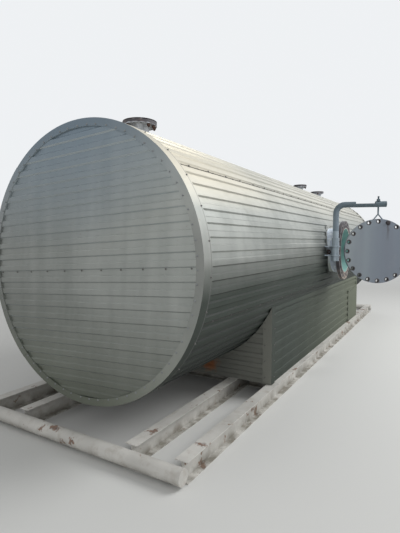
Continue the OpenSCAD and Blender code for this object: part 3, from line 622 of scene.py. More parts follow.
def sheet_finish(name, bright, dull, tone, waviness, metallic=0.62, smooth=0.38):
    """Weathered aluminium sheet: blotched, softly streaked and spotted, with painted light and shade by place."""
    made = Finish(name, metallic)
    streaks = made.noise(1.0, 2.0, (7.0, 7.0, 0.5))
    patches = made.noise(1.3, 4.0)
    fine = made.noise(90.0, 2.0)
    worn = made.band(streaks * 0.5 + patches * 0.5, 0.36, 0.64)
    shade, painted_shade_share = tone(made, made.mix(worn, dull, bright))
    spots = made.band(made.noise(34.0, 3.0), 0.66, 0.74) * made.band(made.noise(2.2, 2.0), 0.5, 0.66)
    shade = made.mix(spots * 0.45, shade, made.colours.stain)
    rough = made.rough(patches, smooth, smooth + 0.12) + fine * 0.06
    # Where shade is painted, the sheet is also made less metallic and rougher.
    if painted_shade_share:
        made.wire("Metallic", made.band(painted_shade_share, 0.0, 1.0, metallic, 0.15))
        rough = rough + painted_shade_share * 0.25
    return made.done(shade, rough, made.noise(3.0, 1.0) * waviness + fine * 0.012, 0.006)


def aluminium(name, bright, tone, waviness):
    """Sheet that is bright where it isn't oxidized."""
    colours = chosen_colours()
    return sheet_finish(name, getattr(colours, bright), colours.mill_dull, tone, waviness)


def shell_sheet():
    """Ribbed sheet of the shell."""
    return aluminium("shell_sheet", "mill", shell_tone, 0.9)


def end_sheet():
    """Ribbed sheet of the ends."""
    return aluminium("end_sheet", "mill", end_tone, 0.6)


def smooth_trim():
    """Smooth sheet of the rim flashings and the collars."""
    return aluminium("smooth_trim", "trim", trim_tone, 1.2)


def box_aluminium(name, tone, waviness):
    """Dull sheet of the belly box, dark with painted shade."""
    shade = chosen_colours().box
    return sheet_finish(name, shade, darker(shade, 0.8), tone, waviness, 0.15, 0.62)


def box_sheet():
    """Ribbed sheet of the belly box, and its access panel."""
    return box_aluminium("box_sheet", box_tone, 0.9)


def box_corner():
    """Smooth sheet at the corners of the belly box."""
    return box_aluminium("box_corner", corner_tone, 1.2)


# Paint and rust

# Fixed shades of rust, crust, worn paint, soil, screws, and the painted shadow along the shell's laps
RUST_GREY = (0.105, 0.090, 0.088)
RUST_PIT = (0.04, 0.026, 0.022)
RUST_RING = (0.052, 0.045, 0.045)
RUST_EDGE = (0.10, 0.075, 0.06)
RUST_RUN = (0.075, 0.068, 0.072)
RUST_NOZZLE = (0.13, 0.10, 0.095)
RUST_SKID = (0.20, 0.10, 0.055)
SCALE_PALE = (0.33, 0.27, 0.22)
CRUST_PALE = (0.36, 0.30, 0.25)
CRUST_BROWN = (0.24, 0.20, 0.15)
COVER_PALE = (0.33, 0.375, 0.385)
COVER_DARK = (0.178, 0.196, 0.238)
COVER_CHALK = (0.26, 0.275, 0.30)
SKID_WORN = (0.33, 0.29, 0.24)
SOIL = (0.10, 0.085, 0.055)
SCREW_BRIGHT = (0.22, 0.21, 0.20)
RIM_SCREW = (0.23, 0.245, 0.25)
RIM_SCREW_BRIGHT = (0.33, 0.34, 0.34)
# Painted shadow along the laps of the shell sheets.
LAP_SHADOW_DARK = (0.022, 0.021, 0.020)
LAP_SHADOW_PALE = (0.07, 0.066, 0.06)


def rusted_steel(name, bright_share, dark):
    """Flaking rust with brighter patches."""
    made = Finish(name, metallic=0.1)
    coarse = made.noise(14.0, 5.0, roughness=0.65)
    fine = made.noise(160.0, 3.0)
    bright = made.band(coarse, 0.62 - bright_share, 0.70 - bright_share / 2)
    shade = made.mix(bright, dark, made.colours.rust_bright)
    shade = made.mix(made.band(fine, 0.45, 0.7, 0.0, 0.5), shade, RUST_PIT)
    return made.done(shade, made.rough(coarse, 0.7, 0.95), coarse + fine * 0.3, 0.004)


def worn_paint(name, paint, rust_share, gloss=0.45, streaks=True):
    """Old paint with faded streaks, and rust where it has chipped: the finish, and its colour."""
    made = Finish(name)
    drips = made.noise(1.0, 3.0, (30.0, 30.0, 1.4))
    patches = made.noise(5.0, 5.0)
    fine = made.noise(140.0, 2.0)
    faded = [min(1.0, part * 1.55 + 0.02) for part in paint]
    shade = made.mottled(patches, paint, 0.72)
    if streaks:
        shade = made.mix(made.band(drips, 0.46, 0.68, 0.0, 0.75), shade, faded)
    chips = made.band(made.noise(26.0, 5.0, roughness=0.7), 0.66 - rust_share, 0.70 - rust_share)
    shade = made.mix(chips, shade, made.colours.rust)
    rough = made.rough(patches, gloss, gloss + 0.15) + chips * 0.3
    made.done(shade, rough, fine * 0.10 - chips * 0.25, 0.002)
    return made, shade


def cover_paint():
    """The cover's paint: pale towards the mast, with rust round its holes and a run below the bolt."""
    made = Finish("cover_paint")
    across, up = made.along(cover_across(), COVER), made.along(Z, COVER)
    patches = made.noise(6.0, 4.0)
    tone = made.mix(made.band(across, 0.05, -0.38, 0.0, 0.7), made.colours.primer, COVER_PALE)
    streaks = made.noise(1.0, 2.0, (5.0, 5.0, 0.5))
    shade = made.mix(made.band(streaks, 0.35, 0.65, 0.0, 0.5), tone, COVER_DARK)
    shade = made.mix(made.band(patches, 0.58, 0.8, 0.0, 0.35), shade, COVER_CHALK)
    bolt = left_bolt_place()
    side = abs(made.along(cover_across(), bolt)) + made.ragged(0.03, 18.0, 2.0)
    below = made.along(-Z, bolt)
    run = made.band(below, 0.0, 0.02) * made.band(below, 0.24, 0.05)
    shade = made.mix(made.band(side, 0.020, 0.004) * run * 0.7, shade, RUST_RUN)
    hole = made.from_nearest_hole(across, up, BOLT_CIRCLE_R, BOLT_STEP)
    ring = made.band(hole + made.ragged(0.012, 45.0, 3.0), 0.033, 0.026, 0.0, 0.92)
    shade = made.mix(ring, shade, RUST_RING)
    edge = abs(made.distance_to(COVER) - FLANGE_R)
    rim = made.band(edge, 0.02, 0.0) * made.band(made.noise(30.0, 4.0), 0.5, 0.65)
    rough = made.rough(patches, 0.45, 0.6) + ring * 0.3
    relief = made.noise(150.0, 2.0) * 0.1 + patches * 0.3
    return made.done(made.mix(rim * 0.6, shade, RUST_EDGE), rough, relief, 0.003)


def machined_rust(made):
    """Purple and grey rust of a machined face."""
    return made.mix(made.band(made.noise(9.0, 3.0), 0.42, 0.66), made.colours.rust_dark, RUST_GREY)


def flange_paint():
    """The manway flange: pale paint behind, dark rust on its edge and face, teal in its bore."""
    made, paint = worn_paint("flange_paint", chosen_colours().neck, 0.02)
    low = made.band(made.z, MANWAY.z - 0.24, MANWAY.z - 0.36)
    scale = low * made.band(made.noise(16.0, 3.0), 0.42, 0.56, 0.0, 0.8)
    rust = made.mix(scale, machined_rust(made), SCALE_PALE)
    shade = made.mix(made.band(made.along(X, MANWAY), -0.052, -0.040), paint, rust)
    return made.done(made.mix(made.in_bore(), shade, made.colours.lining))


def neck_paint():
    """Pale paint of the manway neck, with painted shade low down, and teal in its bore."""
    made, paint = worn_paint("neck_paint", chosen_colours().neck, 0.0)
    patches = made.band(made.noise(4.0, 4.0), 0.35, 0.65, 0.75, 1.15)
    # Painted shade low on the neck.
    low = made.band(made.z, MANWAY.z - 0.05, MANWAY.z - 0.20)
    shade = made.mix(low, paint, made.scaled(made.colours.neck_low, patches))
    return made.done(made.mix(made.in_bore(), shade, made.scaled(made.colours.lining, patches)))


def socket_paint():
    """Paint of the davit's socket."""
    return worn_paint("socket_paint", chosen_colours().socket, 0.0)[0].material


def davit_finish():
    """Paint of the davit: darker on the arm than on the mast, as painted shade, and the socket's at the mast's
    foot.
    """
    made, paint = worn_paint("davit_finish", chosen_colours().davit, 0.0, 0.5, False)
    # Painted shade: the arm darker than the mast.
    arm = made.mottled(made.noise(9.0, 4.0), made.colours.arm, 0.8)
    over_socket = 0.085
    top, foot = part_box("davit_arm")[1].z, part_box("davit_socket")[1].z + over_socket
    shade = made.mix(made.band(made.z, top - 0.16, top - 0.07), paint, arm)
    return made.done(made.mix(made.band(made.z, foot + 0.004, foot), shade, made.colours.socket))


def nozzle_paint():
    """A top nozzle: pale weathered paint below, dark rust from its flange's edge up."""
    made, paint = worn_paint("nozzle_paint", chosen_colours().nozzle, 0.02, 0.6)
    level = made.z + made.ragged(0.03, 30.0, 4.0)
    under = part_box("nozzle_near")[1].z - NOZZLE_FLANGE_T
    rust = made.mix(made.band(made.noise(14.0, 4.0), 0.56, 0.68), made.colours.rust_dark, RUST_NOZZLE)
    return made.done(made.mix(made.band(level, under + 0.002, under + 0.008, 0.0, 0.95), paint, rust))


def teal_lining():
    """Lining of the shell: teal, with rust bleeding through."""
    made = Finish("teal_lining")
    patches = made.noise(2.4, 5.0)
    shade = made.mottled(patches, made.colours.lining, 0.7)
    bleed = made.band(made.noise(3.0, 6.0, (1.0, 1.0, 0.4), 0.7), 0.62, 0.70, 0.0, 0.5)
    shade = made.mix(bleed, shade, made.colours.rust)
    return made.done(shade, made.rough(patches, 0.55, 0.75), made.noise(70.0, 3.0), 0.002)


def joint_residue():
    """Old gasket: a pale crust stained brown near the bore, and dark rust further out."""
    made = Finish("joint_residue")
    crust = made.noise(30.0, 5.0)
    outer = made.band(made.round_manway() + (crust - 0.5) * 0.03, 0.307, 0.313)
    foot = made.band(made.z, MANWAY.z - 0.25, MANWAY.z - 0.33)
    dark = made.mix(foot * made.band(crust, 0.48, 0.56, 0.0, 0.7), machined_rust(made), CRUST_PALE)
    stained = made.mix(made.band(crust, 0.56, 0.68), made.colours.gasket, CRUST_BROWN)
    return made.done(made.mix(outer, stained, dark), made.rough(crust, 0.75, 0.95), crust, 0.002)


def chalky_skid():
    """White paint gone chalky, worn through to rust in patches, with soil near the ground."""
    made = Finish("chalky_skid")
    patches = made.noise(3.5, 5.0)
    shade = made.mottled(patches, made.colours.skid, 0.78, 0.3)
    worn = made.band(made.noise(11.0, 6.0, roughness=0.65), 0.52, 0.72, 0.0, 0.5)
    shade = made.mix(worn, shade, SKID_WORN)
    chips = made.band(made.noise(5.0, 7.0, roughness=0.62), 0.605, 0.635)
    rust = made.mix(made.band(made.noise(40.0, 4.0), 0.4, 0.6), made.colours.rust, RUST_SKID)
    shade = made.mix(chips * 0.85, shade, rust)
    soil = made.band(made.z, 0.09, 0.0) * made.band(made.noise(9.0, 5.0), 0.35, 0.6)
    relief = made.noise(110.0, 3.0) * 0.2 - chips * 0.3
    return made.done(made.mix(soil * 0.75, shade, SOIL), made.rough(patches, 0.65, 0.85), relief, 0.003)


def wool_finish():
    """Mineral wool."""
    made = Finish("wool_finish", roughness=0.95)
    fibres = made.noise(60.0, 5.0, (1.0, 4.0, 1.0))
    return made.done(made.mottled(fibres, made.colours.wool, 0.6), None, fibres, 0.006)


def screw_finish(name, dull, bright):
    """Weathered metal with fine spots."""
    made = Finish(name, metallic=0.5)
    spots = made.noise(220.0, 2.0)
    shade = made.mix(made.band(spots, 0.4, 0.65), dull, bright)
    return made.done(shade, made.rough(spots, 0.45, 0.7))


def screw_metal():
    """Weathered sheet screws."""
    return screw_finish("screw_metal", chosen_colours().screw, SCREW_BRIGHT)


def screw_pale():
    """Paler screws on the faces of the rim flashings."""
    return screw_finish("screw_pale", RIM_SCREW, RIM_SCREW_BRIGHT)


def sealant():
    """Dark strip that paints the shadow under the lapping shell sheets."""
    made = Finish("sealant")
    grains = made.noise(60.0, 3.0)
    shade = made.mix(made.band(grains, 0.35, 0.65), LAP_SHADOW_DARK, LAP_SHADOW_PALE)
    return made.done(shade, made.rough(grains, 0.65, 0.85))


def rusted_parts():
    """Rust of the studs and of the coupling."""
    return rusted_steel("rusted_parts", 0.04, chosen_colours().rust)


def dark_rust():
    """Darker rust of the bolt left in the cover."""
    return rusted_steel("dark_rust", -0.1, chosen_colours().rust_dark)


# Fixings

def screw_shape(washer_r):
    """Hex sheet screw on its sealing washer, standing on the origin."""
    head = washer_r * 0.56
    collar = washer_r * 0.80
    rubber = turned([(washer_r, 0.0), (washer_r, 0.0012), (collar, 0.0024), (0, 0.0024)], 12)
    flange = turned([(collar, 0.0022), (collar, 0.0034), (head, 0.0040)], 12)
    hexagon = turned([(head, 0.0036), (head, 0.0074), (head * 0.82, 0.0084), (0, 0.0084)], 6)
    return joined(rubber, flange, hexagon)


def nut_shape(across, height):
    """Heavy hex nut with chamfered corners, standing on the origin."""
    inner = across * 0.88
    return turned([(0, 0.0), (inner, 0.0), (across, height * 0.12), (across, height * 0.88),
                   (inner, height), (0, height)], 6)


def stud_end(radius, reach, pitch):
    """Threaded end of a stud, standing on the origin."""
    turns = max(2, round(reach / pitch))
    profile = [(0, 0.0)]
    for i in range(turns):
        profile += [(radius * 0.86, i * pitch), (radius, (i + 0.5) * pitch)]
    profile += [(radius * 0.75, turns * pitch), (0, turns * pitch)]
    return turned(profile, 14)


def rim_face_screws(sizes, tag):
    """Screws round the face of a rim flashing."""
    places = []
    end, sign = ENDS[tag]
    rim = skin("rim_flashing_" + tag)
    first = math.radians(90.9)
    for i in range(sizes.ring_screws):
        a = first - math.tau * i / sizes.ring_screws + missed(0.006)
        r = sizes.ring_r + missed(0.002)
        start = Vector((r * math.cos(a), end + sign * OUTSIDE, AXIS_Z + r * math.sin(a)))
        places.append(landed(rim, start, -sign * Y))
    return places


def end_screws(sizes, tag):
    """Screws round the band of a rim flashing, and along the lap of the end sheets."""
    places = []
    end, sign = ENDS[tag]
    rim = skin("rim_flashing_" + tag)
    lap = skin(f"end_sheet_{tag}_upper")
    first, last = math.radians(21.8), 0.03 - sizes.ring_r
    for i in range(sizes.band_screws):
        y = end - sign * (sizes.band_in + missed(0.004))
        places.append(round_place(rim, first + math.tau * i / sizes.band_screws, y))
    tilt = sizes.end_tilt if sign < 0 else 0.0
    along, hem = sizes.end_screw_first, sizes.end_hem
    while along > last:
        at = along + missed(0.008)
        start = Vector((at * math.cos(tilt) - hem * math.sin(tilt), end + sign * OUTSIDE,
                        AXIS_Z + at * math.sin(tilt) + hem * math.cos(tilt)))
        places.append(landed(lap, start, -sign * Y))
        along -= sizes.end_screw_pitch
    return places


def hem_angles(sizes):
    """Angles of the flat hems at which shell sheets lap: three on the manway's side, then the rest."""
    pitch = math.tau / sizes.ribs_round
    belly_ribs = sizes.ribs_round - 5 * sizes.sheet_ribs
    starts = [sizes.seam]
    for ribs in (sizes.sheet_ribs, sizes.sheet_ribs, sizes.sheet_ribs, belly_ribs, sizes.sheet_ribs):
        starts.append(starts[-1] + ribs * pitch)
    below = pitch - sizes.rib_valley + sizes.hem
    above = pitch + sizes.hem
    return [starts[k] - below for k in (0, 4, 5)] + [starts[k] + above for k in (1, 2, 3)]


def under_box(turn):
    """Whether the belly box hides the shell at an angle."""
    box_top_sine = -0.42
    return math.sin(turn) < box_top_sine


def near_opening(turn, y):
    """Whether the manway or the belly box is in the way of a seam screw."""
    box_room, manway_room, manway_cosine = 0.05, 0.40, 0.9
    low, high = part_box("box_wall_left")
    hidden = under_box(turn) and low.y - box_room < y < high.y + box_room
    on_manway = math.cos(turn) > manway_cosine and abs(y - MANWAY.y) < manway_room
    return hidden or on_manway


def shell_screws(sizes):
    """Screws along the seams, and round the shell at the lap of the lengths."""
    places = []
    sheets = skin(*CLADDING)
    from_front, from_rear, from_lap = 0.27, 0.2, 0.03
    for turn in hem_angles(sizes):
        y = FRONT_Y + from_front
        while y < REAR_Y - from_rear:
            if not near_opening(turn, y):
                places.append(round_place(sheets, turn, y))
            y += sizes.seam_screw_pitch * random.uniform(0.97, 1.03)
    pitch = math.tau / sizes.ribs_round
    rib_middle = (pitch + sizes.rib_valley) / 2
    lap_y = REAR_Y - sizes.rear_length
    for i in range(0, sizes.ribs_round, 2):
        turn = sizes.seam + i * pitch + rib_middle
        if not under_box(turn):
            places.append(round_place(sheets, turn, lap_y - from_lap))
    return places


def spread(low, high, inset, number):
    """Evenly spaced places between two ends, set in from them."""
    return [low + inset + i * (high - low - 2 * inset) / (number - 1) for i in range(number)]


def box_screws():
    """Screws of the belly box: corner flashings and access panel."""
    places = []
    low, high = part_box("box_corner_flashings")
    leg, lowest, pitch, side_top, end_top, number = 0.072, 0.07, 0.165, 0.86, 0.78, 5
    for side, x in ((-1, low.x), (1, high.x)):
        for end, y in ((-1, low.y), (1, high.y)):
            for i in range(number):
                z = low.z + lowest + i * pitch
                places.append(spun(Vector((x, y - end * leg, min(z, side_top))), side * X))
                places.append(spun(Vector((x - side * leg, y, min(z, end_top))), end * Y))
    low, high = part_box("access_panel")
    inset = 0.022
    across, upright = spread(low.y, high.y, inset, 5), spread(low.z, high.z, inset, 4)
    spots = {(y, z) for y in across for z in (upright[0], upright[-1])}
    spots |= {(y, z) for y in (across[0], across[-1]) for z in upright}
    return places + [spun(Vector((high.x, y, z)), X) for y, z in sorted(spots)]


def collar_screws():
    """Screws of the collars round the nozzles and the manway."""
    places = []
    aprons = skin("nozzle_collars")
    on_nozzle, on_manway, from_neck, manway_ring_r = 8, 16, 0.030, 0.332
    for name, (_, _, _, neck_r) in NOZZLES.items():
        centre = middle("nozzle_" + name)
        reach = neck_r + from_neck
        for i in range(on_nozzle):
            a = math.tau * (i + 0.5) / on_nozzle
            start = Vector((reach * math.cos(a), centre.y + reach * math.sin(a), centre.z + 1))
            places.append(landed(aprons, start, -Z))
    apron = skin("manway_collar")
    for i in range(on_manway):
        a = math.tau * (i + 0.5) / on_manway
        start = MANWAY + Vector((1, manway_ring_r * math.cos(a), manway_ring_r * math.sin(a)))
        places.append(landed(apron, start, -X))
    return places


def seam_lines(sizes):
    """Dark strips that paint the shadow along the hems of the lapping shell sheets."""
    sheets = skin(*CLADDING)
    from_rim, step, bead_r, past_hem = 0.115, 0.04, 0.0042, 0.0012
    lines = []
    for k, turn in enumerate(hem_angles(sizes)):
        downhill = -1 if k < 3 else 1
        edge = turn + downhill * (sizes.hem + past_hem)
        path, y = [], FRONT_Y + from_rim
        while y < REAR_Y - from_rim:
            place = None if near_opening(edge, y) else round_place(sheets, edge, y)
            if place:
                path.append(place.translation)
            elif len(path) > 2:
                lines.append(swept(path, bead_r, 6, ripple=0.2))
                path = []
            y += step
        lines.append(swept(path, bead_r, 6, ripple=0.2))
    return joined(*lines)


def closure_ring(tag):
    """Hem turned in at the inner edge of a rim flashing's face, across the valleys of the end sheets."""
    end, sign = ENDS[tag]
    sheet, depth, set_back = 0.0010, 0.0160, 0.0004
    points = [v.co for v in frame["nodes"]["rim_flashing_" + tag].data.vertices]
    inner = min(math.hypot(at.x, at.z - AXIS_Z) for at in points if abs(at.y - end) < 1.5 * sheet)
    outer = inner + sheet
    profile = [(inner, -set_back), (outer, -set_back), (outer, -depth), (inner, -depth), (inner, -set_back)]
    return moved(turned(profile, 360), placed(Vector((0, end, AXIS_Z)), sign * Y))


def box_top_closures():
    """Bent strips that close the belly box's side walls to the shell along their tops."""
    sheets = skin(*CLADDING)
    meets, off_wall, hang, sheet, edge = math.radians(-25.2), 0.0022, 0.016, 0.0012, 0.001
    steps, corners = 60, 6
    shapes = []
    for side, node in ((-1, "box_wall_left"), (1, "box_wall_right")):
        low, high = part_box(node)
        face = (high.x if side > 0 else -low.x) + off_wall
        turn = meets if side > 0 else math.pi - meets
        points, faces = [], []
        for i in range(steps + 1):
            y = low.y + (high.y - low.y) * i / steps
            shell = round_place(sheets, turn, y).translation
            outline = ((face, high.z - hang), (face, high.z + edge), (side * shell.x, shell.z),
                       (side * shell.x - edge, shell.z - edge), (face - sheet, high.z),
                       (face - sheet, high.z - hang))
            points += [(side * x, y, z) for x, z in outline]
        for i in range(steps):
            near, far = i * corners, (i + 1) * corners
            for k in range(corners):
                n = (k + 1) % corners
                quad = (near + k, near + n, far + n, far + k)
                faces.append(quad if side > 0 else quad[::-1])
        shapes.append((points, faces))
    return joined(*shapes)


class VESSEL_OT_closures(bpy.types.Operator):
    """Adds the hems of the rim flashings, and the strips between the belly box and the shell"""

    bl_idname = "vessel.closures"
    bl_label = "Closures"

    def execute(self, context):
        random.seed(9)
        rings = joined(*[closure_ring(tag) for tag in ENDS])
        piece("closures_rims", rings, FIXED, end_sheet)
        piece("closures_belly_box", box_top_closures(), FIXED, box_corner)
        return {"FINISHED"}


class VESSEL_OT_sheet_screws(bpy.types.Operator):
    """Adds the sheet screws of the cladding, the flashings and the belly box"""

    bl_idname = "vessel.sheet_screws"
    bl_label = "Sheet Screws"

    def execute(self, context):
        sizes = context.scene.vessel_sizes
        random.seed(4)
        shape = screw_shape(sizes.washer_r)
        for tag in ENDS:
            places = rim_face_screws(sizes, tag)
            piece(f"screws_{tag}_rim", stamped(shape, places), FIXED, screw_pale)
        groups = (("screws_front_end", end_screws(sizes, "front"), "trim_sheet"),
                  ("screws_rear_end", end_screws(sizes, "rear"), "trim_sheet"),
                  ("screws_shell", shell_screws(sizes), "clad_sheet"),
                  ("screws_belly_box", box_screws(), "trim_sheet"),
                  ("screws_collars", collar_screws(), "trim_sheet"))
        for name, places, slot in groups:
            piece(name, stamped(shape, places), FIXED, screw_metal)
        # Dark strips of painted shadow along the shell's laps.
        piece("sealant_seams", seam_lines(sizes), FIXED, sealant)
        return {"FINISHED"}


class VESSEL_OT_nozzle_studs(bpy.types.Operator):
    """Adds the few studs that hold the blanking plates of the top nozzles"""

    bl_idname = "vessel.nozzle_studs"
    bl_label = "Nozzle Studs"

    def execute(self, context):
        stud_r = context.scene.vessel_sizes.stud_r
        random.seed(7)
        nut_r, nut_h, tip, pitch, over_plate = stud_r * 1.85, stud_r * 2, 0.010, 0.0025, 0.001
        nut = nut_shape(nut_r, nut_h)
        end = moved(stud_end(stud_r, tip, pitch), Matrix.Translation((0, 0, nut_h)))
        for name, (holes, held, inset, _) in NOZZLES.items():
            plate = "blind_flange_" + name
            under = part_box("nozzle_" + name)[1].z - NOZZLE_FLANGE_T
            centre, radius = middle(plate), half_width(plate) - inset
            shank = stud_end(stud_r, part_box(plate)[1].z - under + over_plate, pitch)
            shapes = []
            for i in held:
                a = math.tau * (i + 0.5) / holes
                at = Vector((centre.x + radius * math.cos(a), centre.y + radius * math.sin(a), under))
                shapes += [moved(joined(nut, end), spun(at, -Z)), moved(shank, Matrix.Translation(at))]
            piece("studs_nozzle_" + name, joined(*shapes), FIXED, rusted_parts)
        return {"FINISHED"}


# Manway and davit

def cover_across():
    """Direction across the cover, away from the mast."""
    away = COVER - MAST
    away.z = 0
    low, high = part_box("manway_cover")
    flat = Vector((high.x - low.x, high.y - low.y, 0)).normalized()
    return flat if flat.dot(away) > 0 else -flat


def cover_out():
    """Direction out of the cover's outer face."""
    across = cover_across()
    return Vector((across.y, -across.x, 0))


def left_bolt_place():
    """Place of the hole that holds a bolt, on the cover's outer face, one step from the top."""
    r = BOLT_CIRCLE_R
    return (COVER + cover_out() * (COVER_T / 2) + cover_across() * r * math.sin(BOLT_STEP)
            + Vector((0, 0, r * math.cos(BOLT_STEP))))


class VESSEL_OT_cover_fittings(bpy.types.Operator):
    """Adds the bolt left in the cover, and the welds of its yoke"""

    bl_idname = "vessel.cover_fittings"
    bl_label = "Cover Fittings"

    def execute(self, context):
        out = cover_out()
        bolt = left_bolt_place()
        shank_r, pitch, head_r, head_h, spin, short_of_face = 0.0155, 0.0035, 0.0275, 0.019, 0.3, 0.001
        head = moved(nut_shape(head_r, head_h), placed(bolt, out, spin))
        shank = moved(stud_end(shank_r, COVER_T - short_of_face, pitch), placed(bolt, -out))
        piece("bolt_left_in_cover", joined(head, shank), SWINGS, dark_rust)
        half_yoke, sunk, ring_r, bead_r = 0.052, 0.003, 0.010, 0.004
        beads = []
        for side in (-1, 1):
            foot = COVER + cover_across() * side * half_yoke
            foot.z = COVER.z + FLANGE_R - sunk
            beads.append(ring_bead(foot, cover_across(), out, ring_r, 18, bead_r, 0.18))
        piece("welds_yoke", joined(*beads), SWINGS, davit_finish)
        return {"FINISHED"}


def neck_coupling():
    """A short threaded coupling, open at its end, on the near side of the manway's neck."""
    outer, bore, rise, sunk, edge = 0.0275, 0.0185, 0.034, 0.012, 0.002
    turns, pitch, thread, lead_in, bottom = 7, 0.0042, 0.0012, 0.001, 0.003
    profile = [(outer, -sunk), (outer, rise - edge), (outer - edge, rise), (bore + edge, rise)]
    for i in range(turns):
        depth = rise - lead_in - i * pitch
        profile += [(bore, depth), (bore - thread, depth - pitch / 2)]
    profile += [(bore, bottom), (0, bottom)]
    proud, bead_r = 0.001, 0.0045
    bead = ring_bead(COUPLING - proud * Y, X, Z, outer + proud, 40, bead_r, 0.15)
    return joined(moved(turned(profile, 32), placed(COUPLING, -Y)), bead)


class VESSEL_OT_davit_fittings(bpy.types.Operator):
    """Adds the eyebolt's thread, the welds of the socket and the manway's neck, and its coupling"""

    bl_idname = "vessel.davit_fittings"
    bl_label = "Davit Fittings"

    def execute(self, context):
        bead_r = context.scene.vessel_sizes.bead_r
        thread_r, thread_len, pitch = 0.0112, 0.036, 0.003
        foot = Vector((COVER.x, COVER.y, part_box("cover_yoke")[1].z - thread_len))
        thread = moved(stud_end(thread_r, thread_len, pitch), Matrix.Translation(foot))
        piece("thread_eyebolt", thread, SWINGS, davit_finish)
        bracket, half_t, socket_r = 0.0579, 0.007, 0.0455
        beads = []
        for level in (bracket, -bracket):
            for edge in (half_t, -half_t):
                at = Vector((MAST.x, MAST.y, MANWAY.z + level + edge))
                beads.append(ring_bead(at, X, Y, socket_r, 60, bead_r * 0.7, 0.16))
        piece("welds_socket", joined(*beads), FIXED, socket_paint)
        neck = Vector((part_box("manway_flange")[0].x, MANWAY.y, MANWAY.z))
        bead = ring_bead(neck, Y, Z, NECK_R, 240, bead_r, 0.14)
        piece("weld_manway_neck", bead, FIXED, neck_paint)
        piece("coupling_manway_neck", neck_coupling(), FIXED, rusted_parts)
        return {"FINISHED"}


class VESSEL_OT_shell_welds(bpy.types.Operator):
    """Adds the weld seams inside the shell, seen through the open manway"""

    bl_idname = "vessel.shell_welds"
    bl_label = "Shell Welds"

    def execute(self, context):
        sunk, bead_r = 0.003, 0.0075
        ring_r = SHELL_R - SHELL_WALL + sunk
        seams = [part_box("shell_course_" + name)[0].y for name in ("front", "middle", "rear")]
        seams.append(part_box("shell_course_rear")[1].y)
        beads = [ring_bead(Vector((0, y, AXIS_Z)), X, Z, ring_r, 420, bead_r, 0.12, 6) for y in seams]
        piece("welds_shell", joined(*beads), FIXED, teal_lining)
        return {"FINISHED"}


class VESSEL_OT_skid_welds(bpy.types.Operator):
    """Adds the welds between the runners and the pull pipes"""

    bl_idname = "vessel.skid_welds"
    bl_label = "Skid Welds"

    def execute(self, context):
        bead_r = context.scene.vessel_sizes.bead_r * 0.8
        inset, off_end, steps = 0.004, 0.001, 30
        beads = []
        for node in ("skid_outer_runners", "skid_inner_runners"):
            low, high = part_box(node)
            for x0 in (low.x, high.x - BEAM_W):
                for y in (low.y - off_end, high.y + off_end):
                    for z in (inset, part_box("skid_outer_runners")[1].z - inset):
                        path = [Vector((x0 + BEAM_W * k / steps, y, z)) for k in range(steps + 1)]
                        beads.append(swept(path, bead_r, ripple=0.18))
        piece("welds_skid", joined(*beads), FIXED, chalky_skid)
        return {"FINISHED"}


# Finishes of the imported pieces: by their slot, or by their own name where that differs
BY_SLOT = {"vessel_steel": teal_lining, "mineral_wool": wool_finish, "clad_sheet": shell_sheet,
           "trim_sheet": smooth_trim, "skid_paint": chalky_skid, "saddle_paint": davit_finish,
           "nozzle_rust": nozzle_paint, "gasket": joint_residue, "manway_paint": neck_paint,
           "davit_paint": davit_finish}
BY_NAME = {"davit_socket": socket_paint, "manway_cover": cover_paint, "manway_flange": flange_paint,
           "access_panel": box_sheet, "box_wall": box_sheet, "box_corner_flashings": box_corner,
           "end_sheet": end_sheet}


class VESSEL_OT_finishes(bpy.types.Operator):
    """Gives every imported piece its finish"""

    bl_idname = "vessel.finishes"
    bl_label = "Finishes"

    def execute(self, context):
        for part in frame["record"]["subparts"]:
            named = [build for start, build in BY_NAME.items() if part["node"].startswith(start)]
            chosen = material(named[0] if named else BY_SLOT[part["material_slot"]])
            node = frame["nodes"][part["node"]]
            if not node.material_slots:
                node.data.materials.append(chosen)
            for place in node.material_slots:
                place.material = chosen
        return {"FINISHED"}


# Stage

def stage_world(stage):
    """Even light, with a pale backdrop for what the camera and glossy surfaces see."""
    world = bpy.data.worlds.new("stage_world")
    world.use_nodes = True
    nodes, link = world.node_tree.nodes, world.node_tree.links.new
    seen, light = nodes["Background"], nodes.new("ShaderNodeBackground")
    for glow, shade, strength in ((seen, stage.backdrop, 1.0), (light, (1.0, 1.0, 1.0), stage.ambient)):
        glow.inputs["Color"].default_value = (*shade, 1.0)
        glow.inputs["Strength"].default_value = strength
    ray = nodes.new("ShaderNodeLightPath")
    found = ray.outputs["Is Camera Ray"]
    for kind in ("Is Glossy Ray", "Is Transmission Ray"):
        either = nodes.new("ShaderNodeMath")
        either.operation = "MAXIMUM"
        link(found, either.inputs[0])
        link(ray.outputs[kind], either.inputs[1])
        found = either.outputs[0]
    mixed = nodes.new("ShaderNodeMixShader")
    for socket, value in zip(mixed.inputs, (found, light.outputs[0], seen.outputs[0])):
        link(value, socket)
    link(mixed.outputs[0], nodes["World Output"].inputs["Surface"])
    bpy.context.scene.world = world


def floor_material(stage):
    """A plain floor that fades into the backdrop far from the vessel."""
    made = Finish("stage_floor", roughness=0.9)
    made.wire("Base Color", stage.floor)
    fade_from, fade_to = 9.0, 30.0
    far = made.band(made.distance_to((0, 0, 0)), fade_from, fade_to)
    glow = made.node("ShaderNodeEmission", stage.backdrop)
    mixed = made.node("ShaderNodeMixShader", far, Value(made, made.shader.outputs[0]), glow)
    made.give(made.tree.nodes["Material Output"].inputs["Surface"], mixed)
    return made.material


